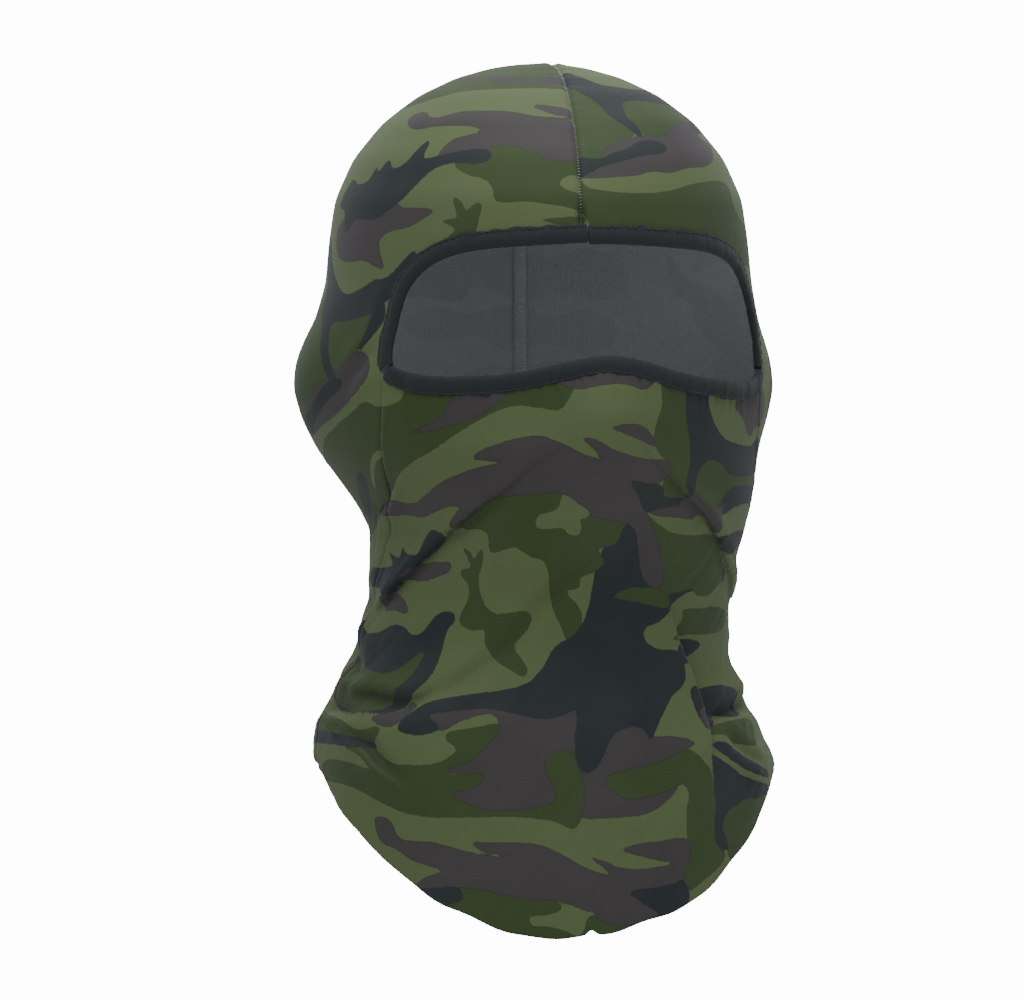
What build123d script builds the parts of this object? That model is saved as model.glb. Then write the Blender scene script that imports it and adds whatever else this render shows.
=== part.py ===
"""Stretch-knit face mask (balaclava) with one eye opening, in its worn shape.

Millimetres, +Z up.  The face looks towards -Y and the wearer's left is +X.
The origin is the centre of the head, at the height of the eyes.
Round the head, an angle of 0 is the middle of the face and +90 is the wearer's left ear.
"""
from build123d import *
import math
import os
from collections import namedtuple

# ---- driving dimensions ------------------------------------------------------------------
CLOTH = 1.0                 # thickness of the knit, with its backing
TAPE = 1.2                  # thickness of the binding tape on each side of the cloth
THREAD = 0.5                # height of a row of thread on the surface
SEAM_RIDGE = 1.2            # height of an overlocked seam inside the cloth

BINDING_WIDTH = 7.5         # from the fold at the opening to the tape's stitched edge
CLOTH_SETBACK = 2.5         # from the fold to the cloth's own edge
ELASTIC_SETBACK = 0.8       # from the fold to the elastic
STITCH_NEAR = 5.9           # the stitch row lies between these distances from the fold
STITCH_FAR = 6.7
CORNER_SPLIT = -17.9        # height where the side tapes pass behind the lower tape

CROWN_TOP = 100.0
CROWN_BASE = 28.0           # height where the rounded crown begins
CROWN_STEPS = (0, 14, 28, 42, 55, 67, 77, 84)   # degrees up the crown's quarter round

SEAM_YAW = -8.0             # the crown and back seam runs a little across the head
SEAM_SHIFT = 5.0
SEAM_ALLOWANCE = 5.0        # width of the overlocked ridge on the crown and back seam
SIDE_ALLOWANCE = 4.0        # and on the two side seams
SEAM_TOP_GAP = 1.0          # the side seam ridges stop this far below the face panel's top

HEM_TWIST = -7.0            # the bib's lowest point is turned towards the wearer's right
FACE_PANEL_TOP = -22.0
BEHIND_NOSE_Y = -60.0       # in front of this the face panel reaches up to the opening

LABEL_WIDTH = 20.0
LABEL_BOTTOM = -178.0
LABEL_TOP = -148.0
LABEL_THICKNESS = 0.4
LABEL_GAP = 0.5             # between the label and the back seam's ridge

TACK_HEIGHT = 2.4           # size of the bar tacks at the corners of the opening
TACK_INNER_X = 60.0

REACH = 150.0               # half-size of cutting blocks, well past the mask all round
FLOOR = -400.0              # and their lower and upper ends
CEILING = 200.0
CUTTER_PLANE = -200.0       # Y of the far end of the eye-shaped cutters

# ---- the worn shape: level sections from the crown down --------------------------------------
Ring = namedtuple("Ring", "height half_width front back across along ear nose")
RINGS = (
    Ring(28, 82.5, 102, 100, 0, 0, 0, 0),
    Ring(12, 84.0, 103.5, 99.5, 0, 0, 0, 0),
    Ring(-2, 85.5, 104.5, 99, 0, 0, 3, 1),
    Ring(-12, 86.5, 105, 98.5, 0, 0, 7.5, 3),
    Ring(-20, 87.0, 105.5, 98, 0, 0, 10, 5),
    Ring(-30, 87.5, 106, 97.5, 0, 0, 10.5, 8),
    Ring(-42, 87.0, 106, 96.5, 0, 0, 7.5, 10),
    Ring(-54, 85.5, 105.5, 95, 0, -1, 3, 7),
    Ring(-66, 82.0, 103.5, 94, 2.5, -2, 0, 3),
    Ring(-76, 77.5, 100, 92, 5, -4, 0, 1),
    Ring(-86, 73.5, 96, 90, 6, -6, 0, 0),
    Ring(-98, 72.0, 88, 85, 3.5, -8.5, 0, 0),
    Ring(-114, 72.0, 78, 78, 2, -10, 0, 0),
    Ring(-132, 74.0, 74, 74, -1, -10, 0, 0),
    Ring(-148, 79.5, 75, 71, -3, -10, 0, 0),
    Ring(-162, 88.0, 78, 70, -4, -10, 0, 0),
    Ring(-174, 92.0, 80.5, 70, -2, -10, 0, 0),
    Ring(-195, 93.0, 82.5, 70, -0.5, -10, 0, 0),
    Ring(-225, 91.5, 81.5, 69, 0, -10, 0, 0),
    Ring(-270, 88.0, 79, 67, 0, -10, 0, 0),
)
EAR_ANGLE = 98.0
EAR_SPREAD = 24.0
NOSE_SPREAD = 13.0
RING_POINTS = 24

# ---- the eye opening, as (angle round the head, height) from the middle to the left ---------
BROW_LINE = ((0, 27), (20, 25.8), (36, 23.8), (46, 19.5), (53, 12), (58, 0), (60, -12), (60.5, -22))
LOWER_LINE = ((0, -18.3), (6, -19.2), (14, -22), (24, -25), (38, -26.3), (50, -25.8), (60.5, -22))
OUTLINE_STEPS = 14

# ---- the side seam and the hem, as (Y, Z) seen from the side ----------------------------------
SIDE_SEAM = ((-51, FACE_PANEL_TOP), (-49, -45), (-42, -64), (-25, -84), (-12, -102), (-8, -140), (-8, -180))
HEM_LINE = (
    (-120, -276), (-92, -250), (-64, -219), (-50, -204), (-30, -187), (-10, -172), (10, -165), (40, -174),
    (100, -200),
)


def section_at(height):
    """The level section at any height, between the rings of the table."""
    if height >= CROWN_BASE:
        shrink = math.sqrt(max(0.0, 1 - ((height - CROWN_BASE) / (CROWN_TOP - CROWN_BASE)) ** 2))
        top = RINGS[0]
        return Ring(height, top.half_width * shrink, top.front * shrink, top.back * shrink, 0, 0, 0, 0)
    for upper, lower in zip(RINGS, RINGS[1:]):
        if height >= lower.height:
            share = (upper.height - height) / (upper.height - lower.height)
            return Ring(*(a + (b - a) * share for a, b in zip(upper, lower)))
    return RINGS[-1]


def skin_point(angle, ring, offset=0.0):
    """A point on the section at an angle, moved out by an offset."""
    side = math.sin(math.radians(angle))
    ahead = math.cos(math.radians(angle))
    depth = ring.front if ahead > 0 else ring.back
    swell = ring.ear * math.exp(-((abs(angle) - EAR_ANGLE) / EAR_SPREAD) ** 2)
    swell += ring.nose * math.exp(-(angle / NOSE_SPREAD) ** 2)
    x = ring.across + (ring.half_width + offset + swell) * side
    y = ring.along - (depth + offset + swell) * ahead
    return Vector(x, y, ring.height)


def ring_wire(ring, offset):
    """A closed smooth wire round one section, starting at the back of the head."""
    angles = [-180 + 360 * i / RING_POINTS for i in range(RING_POINTS)]
    return Wire([Edge.make_spline([skin_point(angle, ring, offset) for angle in angles], periodic=True)])


def body(offset):
    """The solid that fills the mask, out to the given offset from its outer face."""
    half_width = RINGS[0].half_width + offset
    front = RINGS[0].front + offset
    back = RINGS[0].back + offset
    rise = CROWN_TOP - CROWN_BASE + offset
    crown = []
    for step in reversed(CROWN_STEPS):
        shrink = math.cos(math.radians(step))
        height = CROWN_BASE + rise * math.sin(math.radians(step))
        crown.append(Ring(height, half_width * shrink, front * shrink, back * shrink, 0, 0, 0, 0))
    wires = [ring_wire(ring, 0.0) for ring in crown]
    wires += [ring_wire(ring, offset) for ring in RINGS[1:]]
    return Solid.make_loft([Vertex(0, 0, CROWN_BASE + rise)] + wires, ruled=True)


def unrolled(angle, height):
    """Distance round the face and height, the flat plane in which margins are measured."""
    ring = section_at(height)
    steps = 12
    points = [skin_point(angle * i / steps, ring) for i in range(steps + 1)]
    length = sum((b - a).length for a, b in zip(points, points[1:]))
    return Vector(math.copysign(length, angle), height, 0)


def rolled_up(point):
    """The skin point for an unrolled point: the inverse of unrolled()."""
    low, high = 0.0, 90.0
    for _ in range(30):
        middle = (low + high) / 2
        if unrolled(middle, point.Y).X < abs(point.X):
            low = middle
        else:
            high = middle
    return skin_point(math.copysign(low, point.X), section_at(point.Y))


def margin_points(line, margin, outward):
    """Points along one line of the opening, moved away from it by a margin."""
    mirrored = [(-angle, height) for angle, height in reversed(line[1:])]
    curve = Edge.make_spline([unrolled(angle, height) for angle, height in mirrored + list(line)])
    points = []
    for i in range(OUTLINE_STEPS + 1):
        place = curve.position_at(i / OUTLINE_STEPS)
        along = curve.tangent_at(i / OUTLINE_STEPS)
        points.append(place + Vector(-along.Y, along.X, 0) * margin * outward)
    return points


def corner_points(start, end, centre):
    """Points of the arc that joins two margin lines round a corner of the opening."""
    first = math.atan2(start.Y - centre.Y, start.X - centre.X)
    last = math.atan2(end.Y - centre.Y, end.X - centre.X)
    turn = (last - first + math.pi) % (2 * math.pi) - math.pi
    radius = (start - centre).length
    angles = [first + turn * i / 6 for i in range(7)]
    return [centre + Vector(math.cos(a), math.sin(a), 0) * radius for a in angles]


def eye_cutter(margin):
    """The cone of sight through the opening, widened all round by a margin on the skin."""
    brow = margin_points(BROW_LINE, margin, 1)
    lower = list(reversed(margin_points(LOWER_LINE, margin, -1)))
    runs = [brow, lower]
    if margin > 0:
        corner = unrolled(*BROW_LINE[-1])
        left_corner = corner_points(brow[-1], lower[0], corner)
        right_corner = corner_points(lower[-1], brow[0], Vector(-corner.X, corner.Y, 0))
        runs = [brow, left_corner, lower, right_corner]
    edges = []
    for run in runs:
        skin = [rolled_up(point) for point in run]
        edges.append(Edge.make_spline([p * (CUTTER_PLANE / p.Y) for p in skin]))
    return Solid.make_loft([Vertex(0, 0, 0), Wire(edges)], ruled=True)


def side_profile(points, closing):
    """A block with a shaped edge in the YZ plane that runs right across the mask."""
    edge = Edge.make_spline([Vector(0, y, z) for y, z in points])
    corners = [Vector(0, *points[-1])] + [Vector(0, y, z) for y, z in closing] + [Vector(0, *points[0])]
    face = Face(Wire([edge] + [Edge.make_line(a, b) for a, b in zip(corners, corners[1:])]))
    return Solid.extrude(face.moved(Location((-REACH, 0, 0))), Vector(2 * REACH, 0, 0))


def block(x, y, z):
    """A box between two limits on each axis."""
    sizes = [high - low for low, high in (x, y, z)]
    return Solid.make_box(*sizes).moved(Location((x[0], y[0], z[0])))


def at_seam(shape):
    """Moves a shape made about the YZ plane onto the plane of the crown and back seam."""
    return shape.moved(Location((SEAM_SHIFT, 0, 0), (0, 0, SEAM_YAW)))


def only_solids(shape):
    """A boolean result as one shape, whichever form it came back in."""
    solids = shape.solids()
    return solids[0] if len(solids) == 1 else Compound(solids)


# ---- layers and cutting shapes -------------------------------------------------------------
outer_face = body(0)
cloth_inside = body(-CLOTH)
tape_outside = body(TAPE)
tape_inside = body(-CLOTH - TAPE)
thread_outside = body(TAPE + THREAD)
seam_inside = body(-CLOTH - SEAM_RIDGE)
label_inside = body(-CLOTH - LABEL_THICKNESS)

sight = eye_cutter(0)
elastic_edge = eye_cutter(ELASTIC_SETBACK)
cloth_edge = eye_cutter(CLOTH_SETBACK)
stitch_near = eye_cutter(STITCH_NEAR)
stitch_far = eye_cutter(STITCH_FAR)
tape_edge = eye_cutter(BINDING_WIDTH)

below_hem = side_profile(HEM_LINE, ((HEM_LINE[-1][0], FLOOR), (HEM_LINE[0][0], FLOOR)))
below_hem = below_hem.moved(Location((0, 0, 0), (0, 0, HEM_TWIST)))
above_nose = ((-REACH, 0), (BEHIND_NOSE_Y, 0), (BEHIND_NOSE_Y, FACE_PANEL_TOP))
face_region = side_profile(SIDE_SEAM, ((SIDE_SEAM[-1][0], FLOOR), (-REACH, FLOOR), *above_nose))
left_of_seam = at_seam(block((0, 2 * REACH), (-2 * REACH, 2 * REACH), (FLOOR, CEILING)))
left_side = block((0, REACH), (-REACH, REACH), (FLOOR, CEILING))
lower_tape_zone = block((-REACH, REACH), (-REACH, 0), (-REACH, CORNER_SPLIT))


# ---- sub-parts -----------------------------------------------------------------------------
def cloth_panels():
    """Two hood halves and the face and bib panel, cut from one worn skin."""
    skin = outer_face - cloth_inside - below_hem
    cut_skin = skin - cloth_edge
    hood = cut_skin - face_region
    return {
        "hood_panel_left": hood & left_of_seam,
        "hood_panel_right": hood - left_of_seam,
        "face_bib_panel": cut_skin & face_region,
    }


def split_round_eye(name, shape):
    """A piece that runs round the opening, as its right, left and lower lengths."""
    upper = shape - lower_tape_zone
    return {
        name + "_right": upper - left_of_seam,
        name + "_left": upper & left_of_seam,
        name + "_lower": shape & lower_tape_zone,
    }


def binding():
    """Tape folded over the cloth's edge, with an elastic lying in its fold."""
    cloth_layer = outer_face - cloth_inside
    elastic = (cloth_layer & cloth_edge) - elastic_edge
    sleeve = ((tape_outside - tape_inside) & tape_edge) - sight
    tape = sleeve - (cloth_layer - elastic_edge)
    stitches = ((thread_outside - tape_outside) & stitch_far) - stitch_near
    return {
        **split_round_eye("eye_binding", tape),
        **split_round_eye("eye_elastic", elastic),
        **split_round_eye("binding_stitch", stitches),
    }


def corner_tacks():
    """Bar tacks that hold the side tapes behind the lower tape's ends."""
    layer = ((thread_outside - tape_outside) & stitch_near) - elastic_edge
    tack_height = (CORNER_SPLIT - TACK_HEIGHT, CORNER_SPLIT)
    left = layer & block((TACK_INNER_X, REACH), (-REACH, 0), tack_height)
    right = layer & block((-REACH, -TACK_INNER_X), (-REACH, 0), tack_height)
    return {"corner_tack_left": left, "corner_tack_right": right}


def seam_threads():
    """Overlocked seam allowances, raised ridges on the inside of the cloth."""
    ridge_layer = cloth_inside - seam_inside - below_hem - tape_edge
    half = SEAM_ALLOWANCE / 2
    crown_slab = at_seam(block((-half, half), (-2 * REACH, 2 * REACH), (FLOOR, CEILING)))
    behind = face_region.moved(Location((0, SIDE_ALLOWANCE, 0)))
    side = (ridge_layer & behind) - face_region
    side = side & block((-REACH, REACH), (-REACH, REACH), (FLOOR, FACE_PANEL_TOP - SEAM_TOP_GAP))
    return {
        "crown_seam_thread": (ridge_layer & crown_slab) - behind,
        "side_seam_thread_left": side & left_side,
        "side_seam_thread_right": side - left_side,
    }


def care_label():
    """A blank label sewn inside the back of the neck, beside the back seam."""
    near = SEAM_ALLOWANCE / 2 + LABEL_GAP
    patch = at_seam(block((near, near + LABEL_WIDTH), (0, REACH), (LABEL_BOTTOM, LABEL_TOP)))
    return {"care_label": (cloth_inside - label_inside) & patch}


os.makedirs("parts", exist_ok=True)
nodes = {**cloth_panels(), **binding(), **corner_tacks(), **seam_threads(), **care_label()}
for node, shape in nodes.items():
    export_step(only_solids(shape), f"parts/{node}.step")
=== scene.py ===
"""Looks of the camo face mask: knit panels with folds and print, bound eye opening, seams.

Lengths are in metres, in the frame's own axes: +Z up, the face looks towards -Y.
An angle of 0 is the middle of the face and +90 degrees is the wearer's left ear.
"""
import math

import bmesh
import bpy
import numpy as np
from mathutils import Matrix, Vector
from mathutils.bvhtree import BVHTree


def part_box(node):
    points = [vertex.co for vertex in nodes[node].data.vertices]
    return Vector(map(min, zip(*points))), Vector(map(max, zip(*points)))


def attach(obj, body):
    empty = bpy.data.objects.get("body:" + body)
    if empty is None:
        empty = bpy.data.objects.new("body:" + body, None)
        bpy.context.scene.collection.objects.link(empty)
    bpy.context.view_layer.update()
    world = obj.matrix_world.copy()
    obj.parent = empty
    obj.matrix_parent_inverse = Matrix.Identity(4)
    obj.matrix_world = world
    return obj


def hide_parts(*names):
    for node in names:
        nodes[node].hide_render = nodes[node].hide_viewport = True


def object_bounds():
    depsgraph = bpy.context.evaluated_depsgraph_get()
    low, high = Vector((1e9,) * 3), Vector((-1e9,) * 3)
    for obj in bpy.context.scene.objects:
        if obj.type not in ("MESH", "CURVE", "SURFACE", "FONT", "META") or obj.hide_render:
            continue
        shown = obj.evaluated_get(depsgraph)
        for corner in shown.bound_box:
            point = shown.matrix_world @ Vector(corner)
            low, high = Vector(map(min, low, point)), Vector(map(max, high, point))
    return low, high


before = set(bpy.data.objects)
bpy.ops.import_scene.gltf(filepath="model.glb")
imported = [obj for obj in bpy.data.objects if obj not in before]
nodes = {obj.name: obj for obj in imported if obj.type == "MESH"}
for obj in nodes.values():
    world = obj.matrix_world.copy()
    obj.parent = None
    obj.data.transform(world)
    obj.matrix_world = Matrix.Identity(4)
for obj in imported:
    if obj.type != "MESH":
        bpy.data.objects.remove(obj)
cad_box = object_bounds()

MM = 0.001
LOW = np.array(cad_box[0])
HIGH = np.array(cad_box[1])
FAR = 0.25                                  # start of a ray, well outside the mask

# ---- sizes ----------------------------------------------------------------------------------
CLOTH = 0.7 * MM
SEAM_SHIFT = 5 * MM                         # the crown seam passes this far to the left of the axis
SEAM_YAW = 8.0                              # and crosses the head at this angle
CROWN_BASE = 28 * MM
FACE_TOP = -22 * MM
WARP_TOP = -60 * MM                         # below this height the rows bend towards the hem
BINDING_WIDTH = 7.5 * MM
TAPE = 1.2 * MM
CROWN_ROWS = 78
HEAD_ROWS = 58
BIB_ROWS = 122
SECTOR_COLUMNS = (96, 116, 112, 112)         # right face, left face, left hood, right hood
GIRTH_RADIUS = 92 * MM                      # turns an angle round the head into a length of cloth
HEAD_RADIUS = 80 * MM                       # the tape is bent round a head of this radius


# ---- reading the frame ----------------------------------------------------------------------
def tree_of(names):
    """A search tree over the meshes of some CAD nodes."""
    points = []
    faces = []
    for name in names:
        mesh = nodes[name].data
        start = len(points)
        points += [v.co.copy() for v in mesh.vertices]
        faces += [[start + i for i in face.vertices] for face in mesh.polygons]
    return BVHTree.FromPolygons(points, faces)


def ray_down(tree, centre, direction):
    """Distance from a centre to the first surface met on the way in, or None."""
    start = centre + direction * FAR
    hit = tree.ray_cast(start, -direction, FAR)
    return None if hit[0] is None else FAR - hit[3]


def heading(angle, lift=0.0):
    """The direction at an angle round the head, tilted up by lift."""
    flat = math.cos(lift)
    return Vector((flat * math.sin(angle), -flat * math.cos(angle), math.sin(lift)))


def axis_point(height):
    """A point on the upright axis that the rays start from."""
    return Vector((SEAM_SHIFT, 0, height))


panel_tree = tree_of(["hood_panel_left", "hood_panel_right", "face_bib_panel"])
face_tree = tree_of(["face_bib_panel"])
hood_tree = tree_of(["hood_panel_left", "hood_panel_right"])
binding_tree = tree_of(["eye_binding_left", "eye_binding_right", "eye_binding_lower"])


def hem_height(angle):
    """Height of the hem at an angle, found by halving."""
    high = -120 * MM
    low = LOW[2] - 5 * MM
    for _ in range(16):
        middle = (high + low) / 2
        if ray_down(panel_tree, axis_point(middle), heading(angle)) is None:
            low = middle
        else:
            high = middle
    return high + 0.2 * MM


def side_seam_angle(height, side):
    """Angle where the face panel meets the hood, found by halving."""
    low = math.radians(35)
    high = math.radians(130)
    for _ in range(14):
        middle = (high + low) / 2
        direction = heading(side * middle)
        centre = axis_point(height)
        face = ray_down(face_tree, centre, direction)
        hood = ray_down(hood_tree, centre, direction)
        on_face = face is not None and (hood is None or face >= hood)
        if on_face:
            low = middle
        else:
            high = middle
    return high


def smooth(values, times, closed=False):
    """Repeated three-point averaging along the first axis."""
    values = np.array(values, float)
    for _ in range(times):
        if closed:
            values = (np.roll(values, 1, 0) + 2 * values + np.roll(values, -1, 0)) / 4
        else:
            inner = (values[:-2] + 2 * values[1:-1] + values[2:]) / 4
            values = np.concatenate([values[:1], inner, values[-1:]])
    return values


def ease(x):
    """0 below 0, 1 above 1, smooth between."""
    x = np.clip(x, 0, 1)
    return x * x * (3 - 2 * x)


def bell(x, width):
    """1 at 0, dying away on both sides over a width."""
    return np.exp(-(x / width)**2)


# ---- the grid over the whole skin -----------------------------------------------------------
HEM_SAMPLES = 180
hem_angles = np.linspace(-math.pi, math.pi, HEM_SAMPLES, endpoint=False)
hem_heights = smooth([hem_height(a) for a in hem_angles], 6, closed=True)


def hem_at(angle):
    """Height of the hem at one or many angles."""
    turned = (np.asarray(angle) + math.pi) % (2 * math.pi) - math.pi
    return np.interp(turned, hem_angles, hem_heights, period=2 * math.pi)


SEAM_HEIGHTS = np.linspace(-36 * MM, -158 * MM, 24)
seam_left = smooth([side_seam_angle(h, 1) for h in SEAM_HEIGHTS], 2)
seam_right = smooth([side_seam_angle(h, -1) for h in SEAM_HEIGHTS], 2)
front_seam = math.radians(-SEAM_YAW)
back_seam = math.pi + front_seam


def side_angles(height):
    """Angles of the right and left side seams at a height, as (negative, positive)."""
    left = np.interp(-height, -SEAM_HEIGHTS, seam_left)
    right = np.interp(-height, -SEAM_HEIGHTS, seam_right)
    return -right, left


def row_angles(right, left):
    """Angles of one row's columns: right side seam, crown seam, left seam, back seam, and round."""
    ends = (right, front_seam, left, back_seam, right + 2 * math.pi)
    parts = []
    for (start, end), count in zip(zip(ends, ends[1:]), SECTOR_COLUMNS):
        parts.append(start + (end - start) * np.arange(count) / count)
    return np.concatenate(parts)


COLUMNS = sum(SECTOR_COLUMNS)
ROWS = CROWN_ROWS + HEAD_ROWS + BIB_ROWS + 1
column_starts = np.concatenate([[0], np.cumsum(SECTOR_COLUMNS)])


def lay_grid():
    """Angles, heights, lifts and radii of every grid point."""
    angle = np.zeros((ROWS, COLUMNS))
    height = np.zeros((ROWS, COLUMNS))
    lift = np.zeros((ROWS, COLUMNS))
    radius = np.full((ROWS, COLUMNS), np.nan)
    for row in range(ROWS):
        if row < CROWN_ROWS:
            lift[row] = math.pi / 2 * (1 - row / CROWN_ROWS)
            angle[row] = row_angles(*side_angles(FACE_TOP))
            height[row] = CROWN_BASE
        elif row < CROWN_ROWS + HEAD_ROWS:
            share = (row - CROWN_ROWS) / HEAD_ROWS
            height[row] = CROWN_BASE + (WARP_TOP - CROWN_BASE) * share
            angle[row] = row_angles(*side_angles(height[row, 0]))
        else:
            share = (row - CROWN_ROWS - HEAD_ROWS) / BIB_ROWS
            right, left = side_angles(WARP_TOP)
            for _ in range(6):
                right = side_angles(WARP_TOP + share * (hem_at(right) - WARP_TOP))[0]
                left = side_angles(WARP_TOP + share * (hem_at(left) - WARP_TOP))[1]
            angle[row] = row_angles(right, left)
            height[row] = WARP_TOP + share * (hem_at(angle[row]) - WARP_TOP)
        for column in range(COLUMNS):
            direction = heading(angle[row, column], lift[row, column])
            found = ray_down(panel_tree, axis_point(height[row, column]), direction)
            if found is not None:
                radius[row, column] = found
    return angle, height, lift, radius


def stretched_over(values, passes):
    """Fills missing values with a membrane held by the known values round them."""
    missing = np.isnan(values)
    places = np.arange(values.shape[1])
    filled = values.copy()
    for row, gaps in zip(filled, missing):
        row[gaps] = np.interp(places[gaps], places[~gaps], row[~gaps], period=len(places))
    for _ in range(passes):
        above = np.vstack([filled[:1], filled[:-1]])
        below = np.vstack([filled[1:], filled[-1:]])
        beside_it = np.roll(filled, 1, 1) + np.roll(filled, -1, 1)
        filled[missing] = ((above + below + beside_it) / 4)[missing]
    return filled


angle, height, lift, radius = lay_grid()
for row in range(ROWS):
    if np.isnan(radius[row]).all():
        radius[row] = radius[row - 1]
radius = stretched_over(radius, 1500)
radius = smooth(radius, 5)
radius = smooth(radius.T, 6, closed=True).T
base = np.stack([
    SEAM_SHIFT + radius * np.cos(lift) * np.sin(angle),
    -radius * np.cos(lift) * np.cos(angle),
    height + radius * np.sin(lift),
], axis=-1)


def grid_normals(points):
    """Outward unit normals of the grid."""
    down = np.gradient(points, axis=0)
    wrapped = np.concatenate([points[:, -1:], points, points[:, :1]], axis=1)
    round_head = (wrapped[:, 2:] - wrapped[:, :-2]) / 2
    normal = np.cross(down, round_head)
    length = np.linalg.norm(normal, axis=-1, keepdims=True)
    normal = normal / np.maximum(length, 1e-12)
    normal[0] = (0, 0, 1)
    outward = np.sum(normal * (base - [SEAM_SHIFT, 0, 0]) * [1, 1, 0.2], axis=-1)
    return normal * (1 if np.median(outward) > 0 else -1)


normals = grid_normals(base)


# ---- the opening's edge, read from the binding ----------------------------------------------
OUTLINE_RAYS = 320
AZIMUTH_STRETCH = 3.5                       # the opening is this much wider than tall, seen from inside
FOLD_STEP = 1.0 * MM                        # spacing of the samples along the opening's edge
BATCH = 4000                                # points measured at a time, to save memory


def binding_hit(turn, reach):
    """Where a line of sight from the middle of the head meets the binding, or None."""
    azimuth = reach * math.cos(turn) * AZIMUTH_STRETCH
    return binding_tree.ray_cast(Vector((0, 0, 0)), heading(azimuth, reach * math.sin(turn)))[0]


def fold_point(turn):
    """A point of the fold that borders the opening, on the cloth's outer face."""
    low = 0.0
    high = 0.03
    while binding_hit(turn, high) is None:
        low = high
        high += 0.008
    for _ in range(14):
        middle = (low + high) / 2
        if binding_hit(turn, middle) is None:
            low = middle
        else:
            high = middle
    return binding_hit(turn, high + 0.002)


def closed_spacing(points, step):
    """A closed line through points, resampled at even spacing."""
    ring = np.concatenate([points, points[:1]])
    along = np.concatenate([[0], np.cumsum(np.linalg.norm(np.diff(ring, axis=0), axis=1))])
    count = int(along[-1] / step)
    places = np.linspace(0, along[-1], count, endpoint=False)
    return np.stack([np.interp(places, along, ring[:, k]) for k in range(3)], axis=-1)


def skin_at(points):
    """The smooth outer skin and its normal at points near it."""
    flat_angle = np.arctan2(points[:, 0] - SEAM_SHIFT, -points[:, 1])
    spots = []
    outward = []
    for point, turn in zip(points, flat_angle):
        row = int(np.argmin(np.abs(base[:, column_starts[1], 2] - point[2])))
        row = min(max(row, 1), ROWS - 2)
        gap = (angle[row] - turn + math.pi) % (2 * math.pi) - math.pi
        column = int(np.argmin(np.abs(gap)))
        normal = normals[row, column]
        spots.append(point - normal * np.dot(point - base[row, column], normal))
        outward.append(normal)
    return np.array(spots), np.array(outward)


turns = np.linspace(0, 2 * math.pi, OUTLINE_RAYS, endpoint=False)
fold_line = np.array([fold_point(t) for t in turns])
fold_line, fold_normals = skin_at(closed_spacing(smooth(fold_line, 3, closed=True), FOLD_STEP))
fold_line = smooth(fold_line, 6, closed=True)


def settle_opening(line):
    """The worn opening sags a little under the left eye and is drawn in at the right corner."""
    turn = np.degrees(np.arctan2(line[:, 0] - SEAM_SHIFT, -line[:, 1]))
    sag = bell(turn - 46, 20) * ease((-line[:, 2] - 6 * MM) / (12 * MM))
    drawn = ease((-turn - 34) / 22) * ease((18 * MM - line[:, 2]) / (26 * MM))
    moved = line.copy()
    moved[:, 2] -= 2.2 * MM * sag
    moved[:, 0] += 1.8 * MM * drawn
    moved[:, 1] -= 2.6 * MM * drawn
    return moved


fold_line = settle_opening(fold_line)
fold_normals = smooth(fold_normals, 10, closed=True)
fold_normals /= np.linalg.norm(fold_normals, axis=1, keepdims=True)


def opening_distance(points):
    """Signed distance from the opening's fold (negative inside), the nearest fold sample,
    and the direction away from the opening at each sample."""
    away = np.full(points.shape[:-1], 1.0)
    nearest = np.zeros(points.shape[:-1], int)
    near = (points[..., 1] < -20 * MM) & (points[..., 2] > -80 * MM) & (points[..., 2] < 80 * MM)
    spots = points[near]
    best = np.full(len(spots), 1.0)
    index = np.zeros(len(spots), int)
    for start in range(0, len(spots), BATCH):
        batch = slice(start, start + BATCH)
        gaps = np.linalg.norm(spots[batch, None] - fold_line[None], axis=2)
        index[batch] = np.argmin(gaps, axis=1)
        best[batch] = np.min(gaps, axis=1)
    ahead = np.roll(fold_line, -1, 0) - np.roll(fold_line, 1, 0)
    outward = np.cross(ahead, fold_normals)
    outward /= np.linalg.norm(outward, axis=1, keepdims=True)
    middle = fold_line.mean(axis=0)
    if np.sum((fold_line - middle) * outward) < 0:
        outward = -outward
    side = np.sum((spots - fold_line[index]) * outward[index], axis=1)
    away[near] = np.where(side < 0, -best, best)
    nearest[near] = index
    return away, nearest, outward


eye_distance, eye_index, fold_outward = opening_distance(base)


# ---- folds ----------------------------------------------------------------------------------
grid_angle = (angle + math.pi) % (2 * math.pi) - math.pi
unrolled = np.stack([grid_angle * GIRTH_RADIUS, base[..., 2]], axis=-1)


def curve_through(points, samples_each=10):
    """A smooth line through given points (Catmull-Rom), as many (x, y) samples."""
    points = np.array(points, float)
    padded = np.concatenate([[2 * points[0] - points[1]], points, [2 * points[-1] - points[-2]]])
    line = []
    for p0, p1, p2, p3 in zip(padded, padded[1:], padded[2:], padded[3:]):
        for t in np.arange(samples_each) / samples_each:
            blend = 2 * p1 + (p2 - p0) * t + (2 * p0 - 5 * p1 + 4 * p2 - p3) * t**2
            line.append((blend + (3 * p1 - p0 - 3 * p2 + p3) * t**3) / 2)
    line.append(points[-1])
    return np.array(line)


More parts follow.
